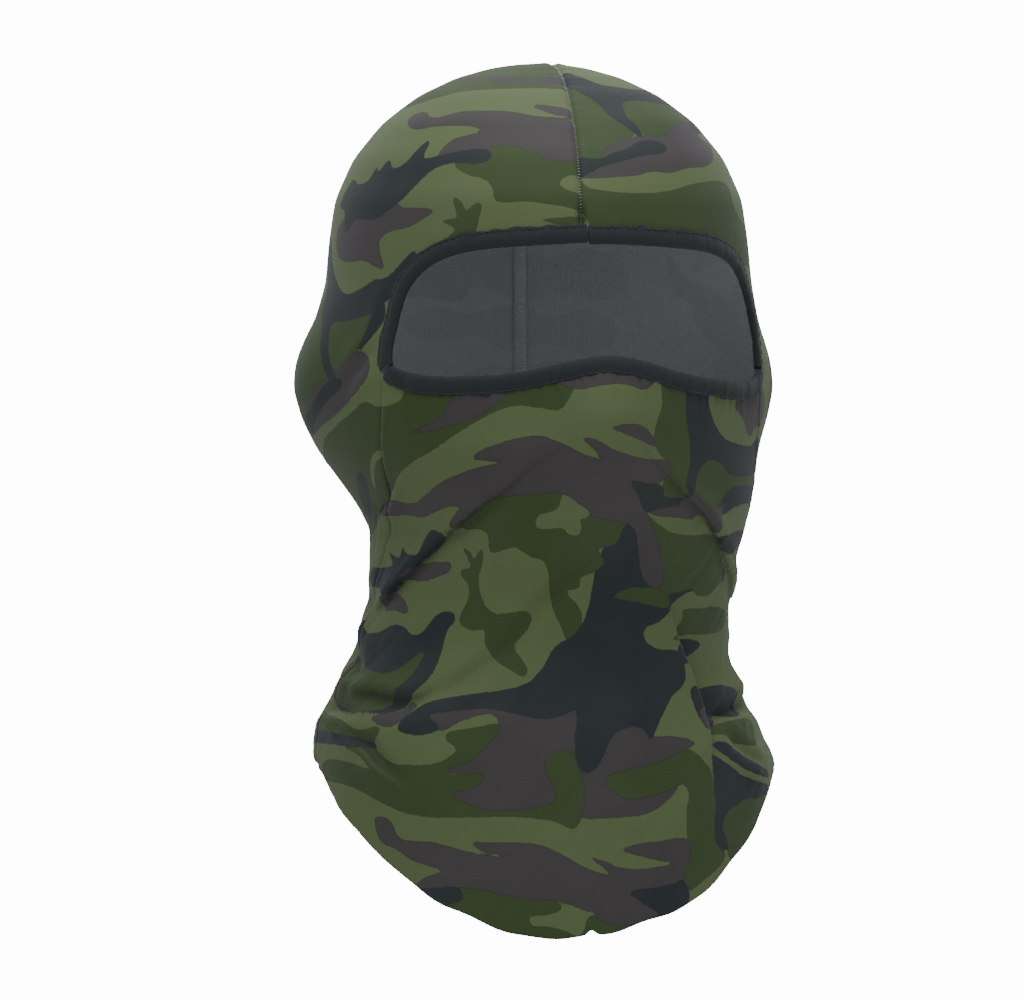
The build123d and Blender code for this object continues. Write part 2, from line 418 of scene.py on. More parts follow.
def beside(path):
    """Signed distance from a fold line given in (degrees, mm), and the share of its length.

    Positive is to the left of the line's direction, seen from outside."""
    points = [(math.radians(a) * GIRTH_RADIUS, h * MM) for a, h in path]
    line = curve_through(points)
    along = np.concatenate([[0], np.cumsum(np.linalg.norm(np.diff(line, axis=0), axis=1))])
    margin = 40 * MM
    low = line.min(axis=0) - margin
    high = line.max(axis=0) + margin
    near = np.all((unrolled > low) & (unrolled < high), axis=-1)
    spots = unrolled[near]
    gaps = np.linalg.norm(spots[:, None] - line[None], axis=2)
    index = np.argmin(gaps, axis=1)
    tangent = np.gradient(line, axis=0)
    tangent /= np.linalg.norm(tangent, axis=1, keepdims=True)
    offset = spots - line[index]
    cross = tangent[index, 0] * offset[:, 1] - tangent[index, 1] * offset[:, 0]
    signed = np.full(unrolled.shape[:-1], margin)
    share = np.zeros(unrolled.shape[:-1])
    signed[near] = np.where(cross >= 0, 1, -1) * gaps[np.arange(len(spots)), index]
    share[near] = along[index] / along[-1]
    past_end = np.sum(offset * tangent[index], axis=1)
    outside = np.abs(past_end) > 1e-4
    weight = np.zeros(unrolled.shape[:-1])
    weight[near] = np.where(outside, bell(past_end, 4 * MM), 1)
    return signed, share, weight


def fade(share, start, end):
    """Grows over the first part of a line and dies away over the last."""
    grow = ease(share / start) if start > 0 else 1.0
    die = ease((1 - share) / end) if end > 0 else 1.0
    return grow * die


raised = np.zeros((ROWS, COLUMNS))          # height of the cloth off the smooth skin
fold_gap = np.full((ROWS, COLUMNS), 40.0)   # mm from the nearest overlap's edge, negative beneath it
fold_shadow_strength = np.zeros((ROWS, COLUMNS))      # how strongly the painted shadow under that overlap darkens the cloth, 0 to 1


def away_from_outline():
    """Folds are lower where the skin turns out of the view from the front."""
    degrees = np.degrees(grid_angle)
    low = ease((-base[..., 2] - 115 * MM) / (35 * MM))
    turning = bell(degrees + 106 - 20 * low, 16) + bell(degrees - 78 + 12 * low, 15)
    return 1 - 0.85 * turning


def lap(path, lift, width, start=0.25, end=0.25, side=1):
    """A fold whose cloth laps over: high on one side of a line, dropping sharply to the other."""
    global raised, fold_gap, fold_shadow_strength
    signed, share, weight = beside(path)
    signed = signed * side
    strength = fade(share, start, end) * weight * away_from_outline()
    over = bell(np.maximum(signed, 0), width)
    under = bell(np.minimum(signed, 0), 0.7 * width)
    step = 0.5 + 0.5 * np.tanh(signed / (1.6 * MM))
    raised += strength * lift * (step * over - 0.75 * (1 - step) * under)
    # the nearest overlap's edge distance and strength are kept for the painted shadow beneath it
    nearer = (np.abs(signed) / MM < np.abs(fold_gap)) & (strength > 0.02)
    fold_gap = np.where(nearer, signed / MM, fold_gap)
    fold_shadow_strength = np.where(nearer, strength, fold_shadow_strength)


def crease(path, depth, width, start=0.3, end=0.3, shoulder=0.5):
    """A soft groove with a low shoulder on each side."""
    global raised
    signed, share, weight = beside(path)
    strength = fade(share, start, end) * weight
    groove = bell(signed, width)
    wide = bell(np.abs(signed) - 2.2 * width, 1.4 * width)
    raised += strength * depth * (shoulder * wide - groove)


def ridge(path, lift, width, start=0.3, end=0.3):
    """A rounded fold standing off the skin."""
    global raised
    signed, share, weight = beside(path)
    raised += fade(share, start, end) * weight * lift * bell(signed, width)


# Each line is (degrees round the head, height in mm), placed where the worn cloth folds.
lap(((-4, -45), (-15, -56), (-27, -72), (-46, -91), (-57, -102), (-71, -113), (-84, -122)),
    3.2 * MM, 7 * MM, start=0.55, end=0.2, side=-1)
lap(((-55, -60), (-58, -66), (-66, -75), (-80, -82), (-88, -94)), 2.2 * MM, 6 * MM, side=1)
crease(((2, -92), (-4, -98), (-17, -116), (-29, -136), (-45, -151), (-62, -158)), 1.8 * MM, 3.5 * MM)
lap(((3, -46), (5, -54), (11, -64), (17, -73), (23, -80), (35, -93), (58, -109), (75, -118)),
    3.0 * MM, 7 * MM, start=0.4, end=0.15, side=1)
lap(((14, -106), (18, -114), (23, -128), (29, -144), (32, -162), (31, -178), (30, -209)),
    3.4 * MM, 9 * MM, start=0.3, end=0.55, side=-1)
lap(((-94, -150), (-79, -150), (-73, -151.5), (-67, -151), (-60, -152), (-54, -153), (-49, -151),
     (-43, -147)),
    3.8 * MM, 8 * MM, start=0.35, end=0.3, side=1)
crease(((-95, -157), (-82, -156.5), (-75, -157.5), (-69, -159.5), (-63, -161)), 3.0 * MM, 3.0 * MM,
       start=0.3, end=0.4, shoulder=0.3)
lap(((-90, -160), (-82, -161), (-74, -165), (-68, -170), (-62, -173.5), (-58, -179.5), (-54, -184),
     (-47, -192)),
    3.6 * MM, 7 * MM, start=0.35, end=0.35, side=-1)
crease(((-97, -128), (-92, -134), (-79, -141), (-72, -148)), 2.2 * MM, 4 * MM)
ridge(((28, -153), (39, -153), (52, -151), (64, -150), (78, -149)), 1.2 * MM, 4.2 * MM, start=0.25, end=0.2)
crease(((29, -161), (37, -159.5), (44, -157.5), (52, -156), (64, -155.5), (80, -155)), 4.0 * MM, 3.6 * MM,
       start=0.25, end=0.35, shoulder=0.3)
ridge(((40, -172), (50, -178), (62, -181), (84, -180)), 2.2 * MM, 9 * MM)
crease(((37, -163), (42, -171), (49, -177), (57, -180)), 1.6 * MM, 2.6 * MM)
crease(((62, -128), (70, -140), (84, -148), (100, -150)), 2.6 * MM, 5 * MM)
crease(((-51, 16), (-54, 8), (-58, -1), (-63, -16), (-70, -30)), 0.9 * MM, 3.5 * MM)
crease(((-64, -13), (-69, -24), (-74, -34)), 1.1 * MM, 3 * MM)
crease(((-100, -110), (-88, -116), (-78, -118)), 1.6 * MM, 4 * MM)

near_eye = ease((eye_distance - 6.5 * MM) / (9 * MM))
raised *= np.where(eye_distance < 0, 0, near_eye)


# ---- seams, gathers and small unevenness ----------------------------------------------------
FACE_ROW = CROWN_ROWS + round(HEAD_ROWS * (CROWN_BASE - FACE_TOP) / (CROWN_BASE - WARP_TOP))
from_axis = base[..., 0] - SEAM_SHIFT
across_seam = from_axis * math.cos(front_seam) + base[..., 1] * math.sin(front_seam)
crown_gap = np.abs(across_seam)
in_front = base[..., 1] < 0
rows_down = np.arange(ROWS)[:, None] * np.ones((1, COLUMNS))
crown_gap = np.where(in_front & (rows_down > FACE_ROW), 1.0, crown_gap)
crown_gap = np.where(in_front & (eye_distance < 3 * MM), 1.0, crown_gap)
side_gap = np.full((ROWS, COLUMNS), 1.0)
for column in (0, column_starts[2]):
    turn = (angle - angle[:, column:column + 1] + math.pi) % (2 * math.pi) - math.pi
    side_gap = np.minimum(side_gap, np.abs(turn) * radius)
side_gap = np.where(rows_down < FACE_ROW + 1, 1.0, side_gap)
down_length = np.concatenate([
    np.zeros((1, COLUMNS)),
    np.cumsum(np.linalg.norm(np.diff(base, axis=0), axis=-1), axis=0),
])


def uneven(position, period, seed):
    """A wandering wave along a line, between about -1 and 1, always the same for one seed."""
    rng = np.random.default_rng(seed)
    total = 0
    for share in (1.0, 0.62, 1.7, 2.6):
        total = total + np.sin(position * 2 * math.pi / (period * share) + rng.uniform(0, 2 * math.pi))
    return total / 2.2


def sewn(gap, groove, rise, pucker, seed):
    """Draws the cloth in along a seam, given the distance from it.

    The groove is (depth, width), the rise beside it (height, place, width), and the puckers
    (height, period), all in mm."""
    global raised
    raised -= groove[0] * MM * bell(gap, groove[1] * MM)
    raised += rise[0] * MM * bell(gap - rise[1] * MM, rise[2] * MM)
    raised += pucker[0] * MM * uneven(down_length, pucker[1] * MM, seed) * bell(gap, pucker[1] * MM)


sewn(crown_gap, groove=(0.9, 1.2), rise=(0.25, 3, 2), pucker=(0.22, 6), seed=3)
sewn(side_gap, groove=(0.3, 1.1), rise=(0.22, 2.6, 1.8), pucker=(0.18, 5), seed=5)

lower_edge = base[..., 2] < -15 * MM
fold_along = eye_index * FOLD_STEP
gather_length = np.where(lower_edge, 7 * MM, 4 * MM)
gather_reach = np.exp(-np.maximum(eye_distance - BINDING_WIDTH, 0) / gather_length)
gather_lift = np.where(lower_edge, 0.30 * MM, 0.10 * MM)
gathers = uneven(fold_along, 5.2 * MM, 7) * gather_reach * gather_lift
raised += np.where(eye_distance > 3 * MM, gathers, 0)

around = grid_angle * GIRTH_RADIUS
low_down = ease((-base[..., 2] - 60 * MM) / (50 * MM))
slant = around * 0.5 + base[..., 2]
raised += 0.30 * MM * low_down * uneven(slant, 34 * MM, 11) * uneven(around, 61 * MM, 12)
raised += 0.16 * MM * low_down * uneven(around - base[..., 2], 15 * MM, 13)
TUCK_HEIGHT = 37.5 * MM                     # a small tuck where the crown seam meets the tape
TUCK_DEPTH = 2.4 * MM
tuck_gap = np.hypot(across_seam / (1.6 * MM), (base[..., 2] - TUCK_HEIGHT) / (3.2 * MM))
raised -= np.where(in_front, TUCK_DEPTH * bell(tuck_gap, 1), 0)

HEM_BAND = 10 * MM
hem_gap = down_length[-1:] - down_length
hem_share = bell(hem_gap, HEM_BAND)
raised += hem_share * 0.9 * MM * uneven(around, 70 * MM, 21)
hem_wave = 0.8 * MM * uneven(around, 38 * MM, 23)
NOTCH_ANGLE = math.radians(-4.5)            # a small nick in the hem, in the middle of the bib
NOTCH_DEPTH = 2.0 * MM
NOTCH_WIDTH = 2.0 * MM
hem_wave = hem_wave + NOTCH_DEPTH * bell((grid_angle - NOTCH_ANGLE) * GIRTH_RADIUS, NOTCH_WIDTH)

skin = base + normals * raised[..., None]
skin[..., 2] += hem_share * hem_wave
skin_normals = grid_normals(skin)


# ---- the flat cloth: where each point of the skin lies on the printed knit ------------------
def flat_cloth(first_sector):
    """Coordinates on the printed cloth for one panel's half, from its first sector's angles."""
    turn = angle.copy()
    if first_sector == 0:
        turn[:, column_starts[3]:] -= 2 * math.pi
        middle = front_seam - math.pi / 2
    else:
        middle = front_seam + math.pi / 2
    across = turn * GIRTH_RADIUS
    up = base[..., 2].copy()
    crown = rows_down < CROWN_ROWS
    spread = turn - middle
    from_side = np.arccos(np.clip(np.cos(lift) * np.cos(spread), -1, 1))
    bearing = np.arctan2(np.sin(lift), np.cos(lift) * np.sin(spread))
    across = np.where(crown, middle * GIRTH_RADIUS + from_side * GIRTH_RADIUS * np.cos(bearing), across)
    up = np.where(crown, CROWN_BASE + from_side * GIRTH_RADIUS * np.sin(bearing), up)
    return across, up


# ---- the print ------------------------------------------------------------------------------
# Woodland shapes on the flat cloth, in mm (across, up), painted in this order over light green.
PRINT_REPEAT = 290                          # the whole set comes again this far across
PRINT_MARGIN = 5                            # distances are only kept up to this far from an edge
PRINT_SHAPES = (
    # the face and the cheeks
    ("green", ((-175, -56), (-155, -57), (-140, -51), (-126, -46), (-112, -40), (-104, -36), (-96, -38),
        (-88, -37), (-82, -33), (-80, -20), (-14, -20), (-17, -31), (-21, -38.5), (-27, -38), (-35, -37),
        (-43, -39), (-52, -44), (-60, -49), (-70, -55), (-80, -59), (-90, -64), (-100, -71), (-118, -80),
        (-140, -85), (-175, -90))),
    ("brown", ((-79, -48), (-72, -45.5), (-65, -42), (-62, -37), (-58, -32), (-56, -20), (-34, -20),
        (-40, -33), (-47, -39), (-54, -43), (-62, -45), (-70, -47))),
    ("navy", ((26, -24), (37, -26), (39, -38), (44, -46), (50, -50.5), (60, -52.5), (78, -53.5), (96, -51),
        (104, -76), (80, -75.5), (62, -77), (50, -80), (44, -76), (30, -73), (26, -69), (29, -60),
        (29, -52), (27, -40))),
    ("green", ((16, -28), (26, -28), (27, -40), (29, -52), (29, -60), (26, -68), (28, -71.5), (24, -73.5),
        (18, -74), (17, -69), (19.5, -64), (19, -60.5), (14, -56), (12, -50), (13, -44), (15.5, -37))),
    ("navy", ((1, -66.5), (8, -68), (14, -68.5), (17, -70), (17, -73.5), (25, -74), (29, -72), (24, -77),
        (16, -78), (10, -79), (6, -73))),
    ("green", ((30, -72), (31, -68), (34, -62), (38, -59), (43, -58.5), (48, -60), (52, -63), (56, -64.5),
        (76, -65), (98, -64), (98, -69), (76, -69), (60, -69.5), (54, -71), (50, -74), (44, -77),
        (38, -78), (34, -76))),
    ("brown", ((58, -36.5), (72, -34), (90, -30), (100, -36), (96, -44), (84, -45), (78, -48.5),
        (72, -47.5), (66, -42))),
    ("green", ((10, -80), (20, -87), (32, -89), (44, -89), (52, -90), (62, -97), (78, -105), (66, -108),
        (56, -112), (47, -112), (42, -110), (36, -111), (31, -115), (28, -117.5), (14, -115.5),
        (2, -113.5), (6, -110), (14, -109), (22, -109), (12, -92))),
    ("brown", ((12, -78.5), (20, -77), (27, -76), (30, -71), (34, -76), (38, -78.5), (45, -77.5),
        (52, -75), (49, -79), (47, -87), (43, -85), (38, -80.5), (32, -82), (22, -81), (15, -80.5))),
    ("light", ((9, -78), (15, -81), (24, -82), (32, -82), (36, -80.5), (40, -83), (46, -87.5), (40, -89),
        (30, -88.5), (20, -86.5), (13, -82.5))),
    ("navy", ((50, -88.5), (58, -88), (76, -87), (96, -87), (104, -92), (84, -93), (72, -94), (62, -95),
        (55, -92))),
    # the jaw and the bib
    ("brown", ((-74, -156), (-72, -163), (-67, -165.5), (-60, -162), (-50, -159), (-45, -161), (-45, -168),
        (-54, -177), (-62, -180), (-64, -182), (-56, -183), (-50, -183), (-53, -188.5), (-62, -190.5),
        (-57, -194), (-48, -197), (-36, -197), (-24, -195), (-12, -200), (8, -199.5), (18, -197.5),
        (25, -193), (31, -187.5), (36, -180), (36, -173.5), (40.5, -171.5), (37, -169.5), (28, -168.5),
        (18, -168), (10, -158), (-20, -152), (-50, -152))),
    ("green", ((-129, -181), (-121, -178), (-108, -179), (-95, -181.5), (-86, -180), (-78, -180),
        (-68, -179), (-61, -175), (-61, -172), (-65, -169), (-63, -166.5), (-54, -165), (-45, -163.5),
        (-46, -168), (-54, -177.5), (-63, -181), (-63, -183.5), (-56, -183), (-50, -182), (-51, -187),
        (-58, -190), (-62, -191), (-56, -195), (-47, -197), (-34, -196.5), (-23, -194), (-23, -189),
        (-26.5, -181), (-25, -175.5), (-20, -173), (-15.5, -174.5), (-12, -182), (-10, -189), (-11, -197),
        (-14, -203.5), (-17, -204), (-24, -201), (-40, -199.5), (-66, -200), (-80, -198.5), (-92, -194),
        (-104, -189), (-116, -186.5), (-128, -186))),
    ("green", ((-2, -187), (0, -183), (8, -181), (22, -178), (35, -173.5), (41, -176), (47, -182),
        (50, -190), (51, -200), (50, -208), (56, -216), (46, -223), (33, -230), (32, -222), (37, -213),
        (35, -208), (34.5, -198), (36, -191), (33, -187), (27, -189.5), (16, -192.5), (6, -193))),
    ("navy", ((3, -84), (7, -87), (10, -96), (13, -104), (18, -109), (30, -112), (43, -110), (36, -113),
        (30, -118), (25, -122.5), (19, -125), (19, -130), (26, -134), (36, -135), (40, -143), (39, -148),
        (32, -153), (25, -161), (19, -169), (17, -166), (12, -164), (5, -165.5), (0, -170), (-4, -178),
        (-9, -182.5), (-13, -179), (-14, -170), (-13, -158), (-20, -160), (-28, -161), (-38, -159),
        (-50, -157), (-62, -158), (-73, -160), (-68, -165), (-77, -167.5), (-85, -165), (-80, -158),
        (-74, -154.5), (-60, -152.5), (-46, -150.5), (-34, -147.5), (-27, -141), (-22, -133), (-14, -128),
        (-8, -118), (-6, -100), (-2, -90))),
    ("green", ((2, -113.5), (6, -110), (14, -109), (26, -110), (30, -114), (27, -117.5), (14, -115.5))),
    ("green", ((-66, -84), (-60, -86), (-53, -86), (-49, -88), (-48, -95), (-43, -94), (-38, -93),
        (-34, -95), (-31, -97), (-27, -98), (-24.5, -103), (-24, -112), (-22, -119), (-19, -125),
        (-17, -129.5), (-13, -127), (-11, -122), (-13, -116.5), (-18, -111), (-13, -109), (-12, -105),
        (-5, -102), (-3, -98.5), (-7, -94), (0, -92.5), (2, -87), (3, -76), (-30, -66), (-56, -75))),
    ("brown", ((-118, -79), (-108, -76), (-100, -74), (-93, -76), (-86, -76), (-78, -73), (-70, -69),
        (-60, -65), (-50, -62), (-42, -60), (-37, -57.5), (-45, -58.5), (-52, -58), (-47, -54.5),
        (-40, -52), (-33, -50), (-26, -50), (-19, -53.5), (-13, -57), (-7, -59), (-10, -54), (-13, -50.5),
        (-9, -51.5), (-4, -55), (3, -57.5), (10, -59), (16, -59), (19, -62), (17.5, -66), (12, -68.5),
        (4, -67.5), (7, -73), (11, -81), (17, -92), (22, -102), (24, -107), (21, -109.5), (15, -107),
        (11, -101), (9, -94), (6, -86), (0, -83), (-8, -81), (-11, -79), (-15, -75), (-20, -71.5),
        (-30, -72), (-40, -73), (-49, -75), (-56, -80), (-62, -84), (-65, -84), (-62, -80), (-58, -77),
        (-65, -76.5), (-74, -78.5), (-84, -81), (-96, -80), (-108, -80))),
    ("brown", ((-21, -28), (-15, -24), (-2, -21), (12, -25), (8, -30.5), (0, -28.5), (-8, -29),
        (-15, -30.5))),
    ("light", ((-96, -55), (-101, -55), (-106, -58), (-111, -63), (-116, -70), (-113, -70), (-108, -64.5),
        (-103, -60), (-97, -57.5))),
    ("navy", ((-118, -65), (-124, -64.5), (-134, -70), (-146, -77), (-148, -83), (-136, -79),
        (-124, -72))),
    ("brown", ((-4, -46), (2, -45), (7, -46), (11, -50), (12, -53), (7, -51), (1, -48.5))),
    ("light", ((-20, -72), (-15, -75), (-10, -79), (-11, -82), (-13, -82.5), (-12.5, -86), (-14, -89),
        (-17.5, -88.5), (-20, -86), (-25, -86.5), (-29, -86), (-30, -83), (-28, -80), (-22, -78))),
    ("green", ((-61, -94), (-58, -95.5), (-56, -98.5), (-54, -96), (-52, -94.5), (-52.5, -99), (-55, -106),
        (-54.5, -112), (-52, -117), (-47, -120), (-41, -119.5), (-35, -119), (-32.5, -121), (-34, -125.5),
        (-40, -132), (-37, -137), (-34, -142), (-36, -144), (-42, -141), (-49, -136), (-52, -130),
        (-52, -125.5), (-58, -126), (-63, -124), (-64, -121), (-60, -114), (-59, -109), (-63, -103),
        (-58, -101.5), (-58.5, -98))),
    # the right cheek, above and below its long fold
    ("navy", ((-140, -102), (-124, -102), (-110, -100.5), (-116, -96), (-104, -98), (-102, -93.5),
        (-98, -96), (-86, -96.5), (-82, -90), (-77, -86.5), (-71, -89.5), (-88, -100), (-112, -112),
        (-124, -109.5), (-140, -108))),
    ("brown", ((-101, -105.5), (-93, -101.5), (-84, -100), (-74, -99.5), (-68, -100), (-70, -103),
        (-77, -105), (-86, -106.5), (-94, -106))),
    ("brown", ((-120, -114), (-112, -112), (-104, -113), (-97, -116), (-95, -119), (-99, -119),
        (-106, -118), (-115, -118))),
    ("navy", ((-140, -124), (-128, -128), (-116, -127.5), (-104, -124.5), (-96, -125.5), (-89, -128.5),
        (-83, -127), (-77, -121), (-71, -119), (-66.5, -121), (-71, -127), (-72.5, -134), (-75, -144),
        (-82, -151), (-90, -158), (-110, -158), (-140, -152))),
    ("green", ((-140, -140), (-124, -139), (-112, -142), (-100, -143.5), (-92, -141), (-84, -135),
        (-81, -136), (-85, -146), (-90, -152), (-96, -157), (-110, -158), (-125, -156), (-140, -152))),
    ("brown", ((-99, -160.5), (-92, -164), (-87, -163.5), (-83, -160), (-80.5, -156), (-83, -154.5),
        (-87, -158))),
    ("green", ((-150, -159), (-132, -160), (-118, -162), (-106, -166), (-94, -165), (-97, -171),
        (-93, -176), (-86, -179.5), (-78, -180), (-86, -184), (-95, -180), (-101, -175.5), (-112, -172),
        (-132, -169), (-150, -168))),
    ("navy", ((-140, -167), (-120, -167.5), (-106, -169), (-95, -172), (-104, -172.5), (-118, -171.5),
        (-140, -170.5))),
    # the bib's hem
    ("green", ((-60, -227), (-40, -229), (-20, -231), (-8, -237), (0, -240), (14, -241), (20, -238),
        (14, -254), (-74, -254), (-68, -238), (-60, -233))),
    ("navy", ((8, -229), (20, -228), (32, -225), (35, -234), (22, -241), (14, -234))),
    ("brown", ((-95, -202), (-92, -200.5), (-88, -202), (-86, -206), (-83, -209.5), (-70, -210.5),
        (-60, -213), (-50, -215.5), (-41, -216), (-40, -214.5), (-48, -214), (-54, -210.5), (-46, -210.5),
        (-36, -210.5), (-28, -211.5), (-20, -215), (-13, -219), (-6, -222), (1, -223.5), (-3, -219.5),
        (-7, -216.5), (-2, -218), (4, -220.5), (13, -221), (23, -220), (30, -218.5), (22, -217),
        (12, -215), (6, -213), (13, -211), (22, -210), (30, -209), (35, -209.5), (37, -213), (34, -221),
        (31, -226), (20, -228.5), (9, -230), (15, -235), (22, -240), (10, -243), (-4, -241), (-11, -236.5),
        (-20, -233), (-32, -232), (-42, -230.5), (-52, -228.5), (-62, -228), (-70, -230), (-82, -232),
        (-76, -226), (-70, -223), (-64, -222), (-70, -219.5), (-79, -217), (-86, -212.5), (-92, -210))),
    ("navy", ((-76, -229), (-66, -228), (-60, -228.5), (-58.5, -231), (-60, -234), (-68, -235),
        (-78, -233))),
    ("light", ((-33, -240), (-31, -238.5), (-25, -238), (-20, -236), (-21, -233.5), (-16, -234.5),
        (-10, -237), (-5, -240), (-9, -241.5), (-10, -245), (-13, -248), (-18, -245), (-25, -243),
        (-31, -243))),
    # the left cheek and the left of the neck
    ("green", ((33, -129.5), (39, -125), (41, -121), (40, -118.5), (52, -118), (68, -117.5), (84, -120),
        (80, -126), (60, -127.5), (44, -128))),
    ("navy", ((36, -132.5), (42, -130.5), (50, -130.5), (55, -132), (50, -135), (43, -138.5), (39, -139))),
    ("navy", ((43, -150.5), (54, -149.5), (66, -149), (80, -150.5), (92, -153), (88, -158), (76, -160.5),
        (62, -159), (58, -163), (48, -165.5))),
    ("brown", ((46, -158), (54, -158), (60, -161), (54, -164), (48, -165.5))),
    ("green", ((50, -166), (58, -164), (66, -163), (78, -162.5), (90, -163), (84, -172), (70, -171),
        (62, -168), (54, -167))),
    ("navy", ((49, -176), (58, -179), (68, -184), (80, -187), (100, -190), (84, -193), (72, -193),
        (62, -196), (55, -201), (55, -207), (60, -213), (52, -212), (50, -205), (50.5, -192))),
    ("green", ((55, -203), (58, -198), (66, -195), (78, -193), (95, -196), (90, -215), (62, -218),
        (57, -210))),
    ("navy", ((54, -171), (60, -171.5), (70, -176), (84, -181), (94, -185), (80, -184), (66, -179.5),
        (56, -174))),
    # the right half of the hood
    ("green", ((-175, 92), (-152, 96), (-138, 100), (-124, 105), (-110, 112), (-95, 117), (-82, 122),
        (-70, 129), (-58, 138), (-60, 170), (-120, 175), (-180, 150))),
    ("brown", ((-130, 124), (-118, 129), (-104, 127), (-93, 127), (-83, 130), (-75, 134), (-69, 138),
        (-73, 144), (-80, 148), (-85, 142), (-88, 135), (-98, 133), (-112, 133), (-124, 131))),
    ("brown", ((-125, 90), (-119, 93.5), (-113, 93), (-107, 90.5), (-99, 91), (-90, 96), (-78, 98.5),
        (-64, 101), (-50, 101), (-36, 104), (-16, 96), (-14, 72), (-28, 72), (-44, 77), (-58, 74),
        (-72, 71), (-80, 68), (-79, 77), (-73, 81), (-67, 85), (-75, 87.5), (-88, 86.5), (-98, 85),
        (-108, 83), (-118, 85))),
    ("brown", ((-58, 110), (-51, 113), (-42, 113), (-34, 111), (-38, 107), (-48, 106.5))),
    ("green", ((-70, 66), (-62, 72), (-54, 78), (-46, 78), (-36, 74.5), (-26, 72.5), (-12, 78), (-8, 47),
        (-22, 47), (-34, 48), (-45, 47), (-48, 53), (-53, 58), (-63, 60.5))),
    ("light", ((-24.5, 60), (-23, 64), (-18, 66.5), (-14, 66), (-14, 55), (-19, 55), (-23, 57))),
    ("green", ((-28, 38), (-20, 40), (-12, 41), (-12, 37), (-20, 36.5))),
    ("brown", ((-148, 33), (-147, 27), (-140, 22), (-126, 20.5), (-114, 21), (-100, 17.5), (-99, 19),
        (-103, 27), (-98, 32), (-85, 34.5), (-76, 39), (-73, 41.5), (-78, 42.5), (-90, 42.5), (-97, 46),
        (-120, 44), (-140, 38))),
    ("navy", ((-55, 69.5), (-58, 73.5), (-66, 73), (-78, 69), (-88, 66.5), (-91, 75), (-94, 75), (-98, 64),
        (-106, 61), (-112, 65), (-117, 58.5), (-120, 61.5), (-123, 55), (-132, 53), (-144, 55), (-150, 44),
        (-141, 42), (-137, 33), (-132, 33.5), (-125, 38), (-108, 38), (-99, 42), (-91, 47), (-84, 56),
        (-79, 62), (-70, 65.5), (-59, 66))),
    ("green", ((-64, 47.5), (-60.5, 46), (-57.5, 41.5), (-54, 45), (-51.5, 45), (-52, 38), (-54, 29),
        (-64, 29), (-60, 33.5), (-67, 36.5), (-61, 38.5), (-62, 43))),
    ("green", ((-170, 6), (-158, 6), (-148, -1), (-139, -8), (-132, -18), (-126, -25.5), (-134, -29),
        (-143, -37), (-152, -42), (-175, -48))),
    ("green", ((-133, -3), (-120, -2), (-104, 0), (-102, -4), (-108, -14), (-116, -20), (-123, -25),
        (-128, -18), (-132, -10))),
    ("brown", ((-109, -15.5), (-104, -18), (-101, -21.5), (-103, -27), (-112, -34), (-124, -40.5),
        (-138, -45), (-156, -49), (-152, -42), (-142, -37), (-133, -29), (-122, -25), (-115, -20))),
    ("navy", ((-118, -27), (-119, -30.5), (-128, -35), (-140, -42), (-153, -48), (-156, -43), (-144, -39),
        (-136, -34.5), (-129, -29.5), (-123, -27))),
    ("navy", ((-172, 34), (-160, 28), (-150, 18), (-138, 11), (-126, 7), (-114, 9), (-104, 12.5),
        (-94, 14), (-80, 24), (-84, 10), (-96, 4), (-104, -0.5), (-120, -3), (-132, -4), (-131, -11),
        (-126, -20), (-121, -25.5), (-126, -26), (-133, -17), (-141, -6), (-150, 0), (-158, 11),
        (-168, 22))),
    ("navy", ((-97, 4), (-95, -2), (-100, -8), (-109, -16), (-105, -8), (-102, -1))),
    # cut away at the face opening, and seen where the set comes again at the back
    ("green", ((-54, 22), (-40, 27), (-24, 23), (-8, 28), (8, 24), (24, 27), (36, 18), (24, 10), (4, 12),
        (-14, 6), (-30, 10), (-46, 6), (-58, 12))),
    ("brown", ((-52, -4), (-40, 2), (-26, -1), (-10, 4), (8, 0), (20, 3), (36, -4), (24, -10), (6, -8),
        (-8, -14), (-24, -11), (-38, -15), (-50, -12))),
    ("navy", ((22, 22), (32, 24), (42, 20), (50, 10), (54, -4), (46, -6), (40, 4), (30, 8), (14, 6),
        (8, 10), (16, 15))),
    # the left half of the hood
    ("green", ((37, 142), (35, 130), (31, 114), (27, 104), (26, 95), (27, 86), (18, 84), (9, 79.5),
        (5, 75), (0, 74), (-5, 79), (-20, 88), (-10, 120), (20, 150))),
    ("green", ((32, 84), (33, 92), (36, 101), (48, 113), (80, 108), (112, 106), (112, 96), (92, 93.5),
        (74, 91), (60, 88.5), (52, 85), (42, 83))),
    ("navy", ((29.5, 83.5), (33, 91), (34, 99), (42, 109), (50, 112), (66, 109.5), (84, 105.5), (112, 105),
        (112, 121), (88, 120), (70, 123), (60, 129), (58, 134), (62, 146), (66, 160), (46, 160), (39, 144),
        (35, 128), (31, 113), (27, 103), (27, 94))),
    ("brown", ((-9, 66), (-2, 63), (6, 62.5), (14, 62), (22, 63.5), (31, 62), (42, 64), (56, 64.5),
        (68, 67), (78, 72), (87, 77), (80, 80), (80, 85), (90, 91), (76, 91), (60, 89), (52, 86), (42, 83),
        (26, 84.5), (16, 82.5), (8, 79), (4, 74), (-4, 74))),
    ("navy", ((-14, 64), (-4, 66.5), (3, 69.5), (12, 71), (22, 72.5), (34, 73), (38.5, 76.5), (35, 80.5),
        (26, 81), (19, 78), (10, 76), (3, 74), (-2, 76), (-14, 84))),
    ("navy", ((79, 84), (90, 85), (112, 86), (112, 96), (92, 93), (82, 90))),
    ("green", ((-14, 60), (-5, 56), (6, 52.5), (22, 51.5), (42, 55), (60, 56.5), (72, 55.5), (75, 52),
        (73, 47), (76, 42), (84, 37.5), (96, 35), (100, 20), (60, 20), (-6, 24), (-9, 36), (-12, 48))),
)


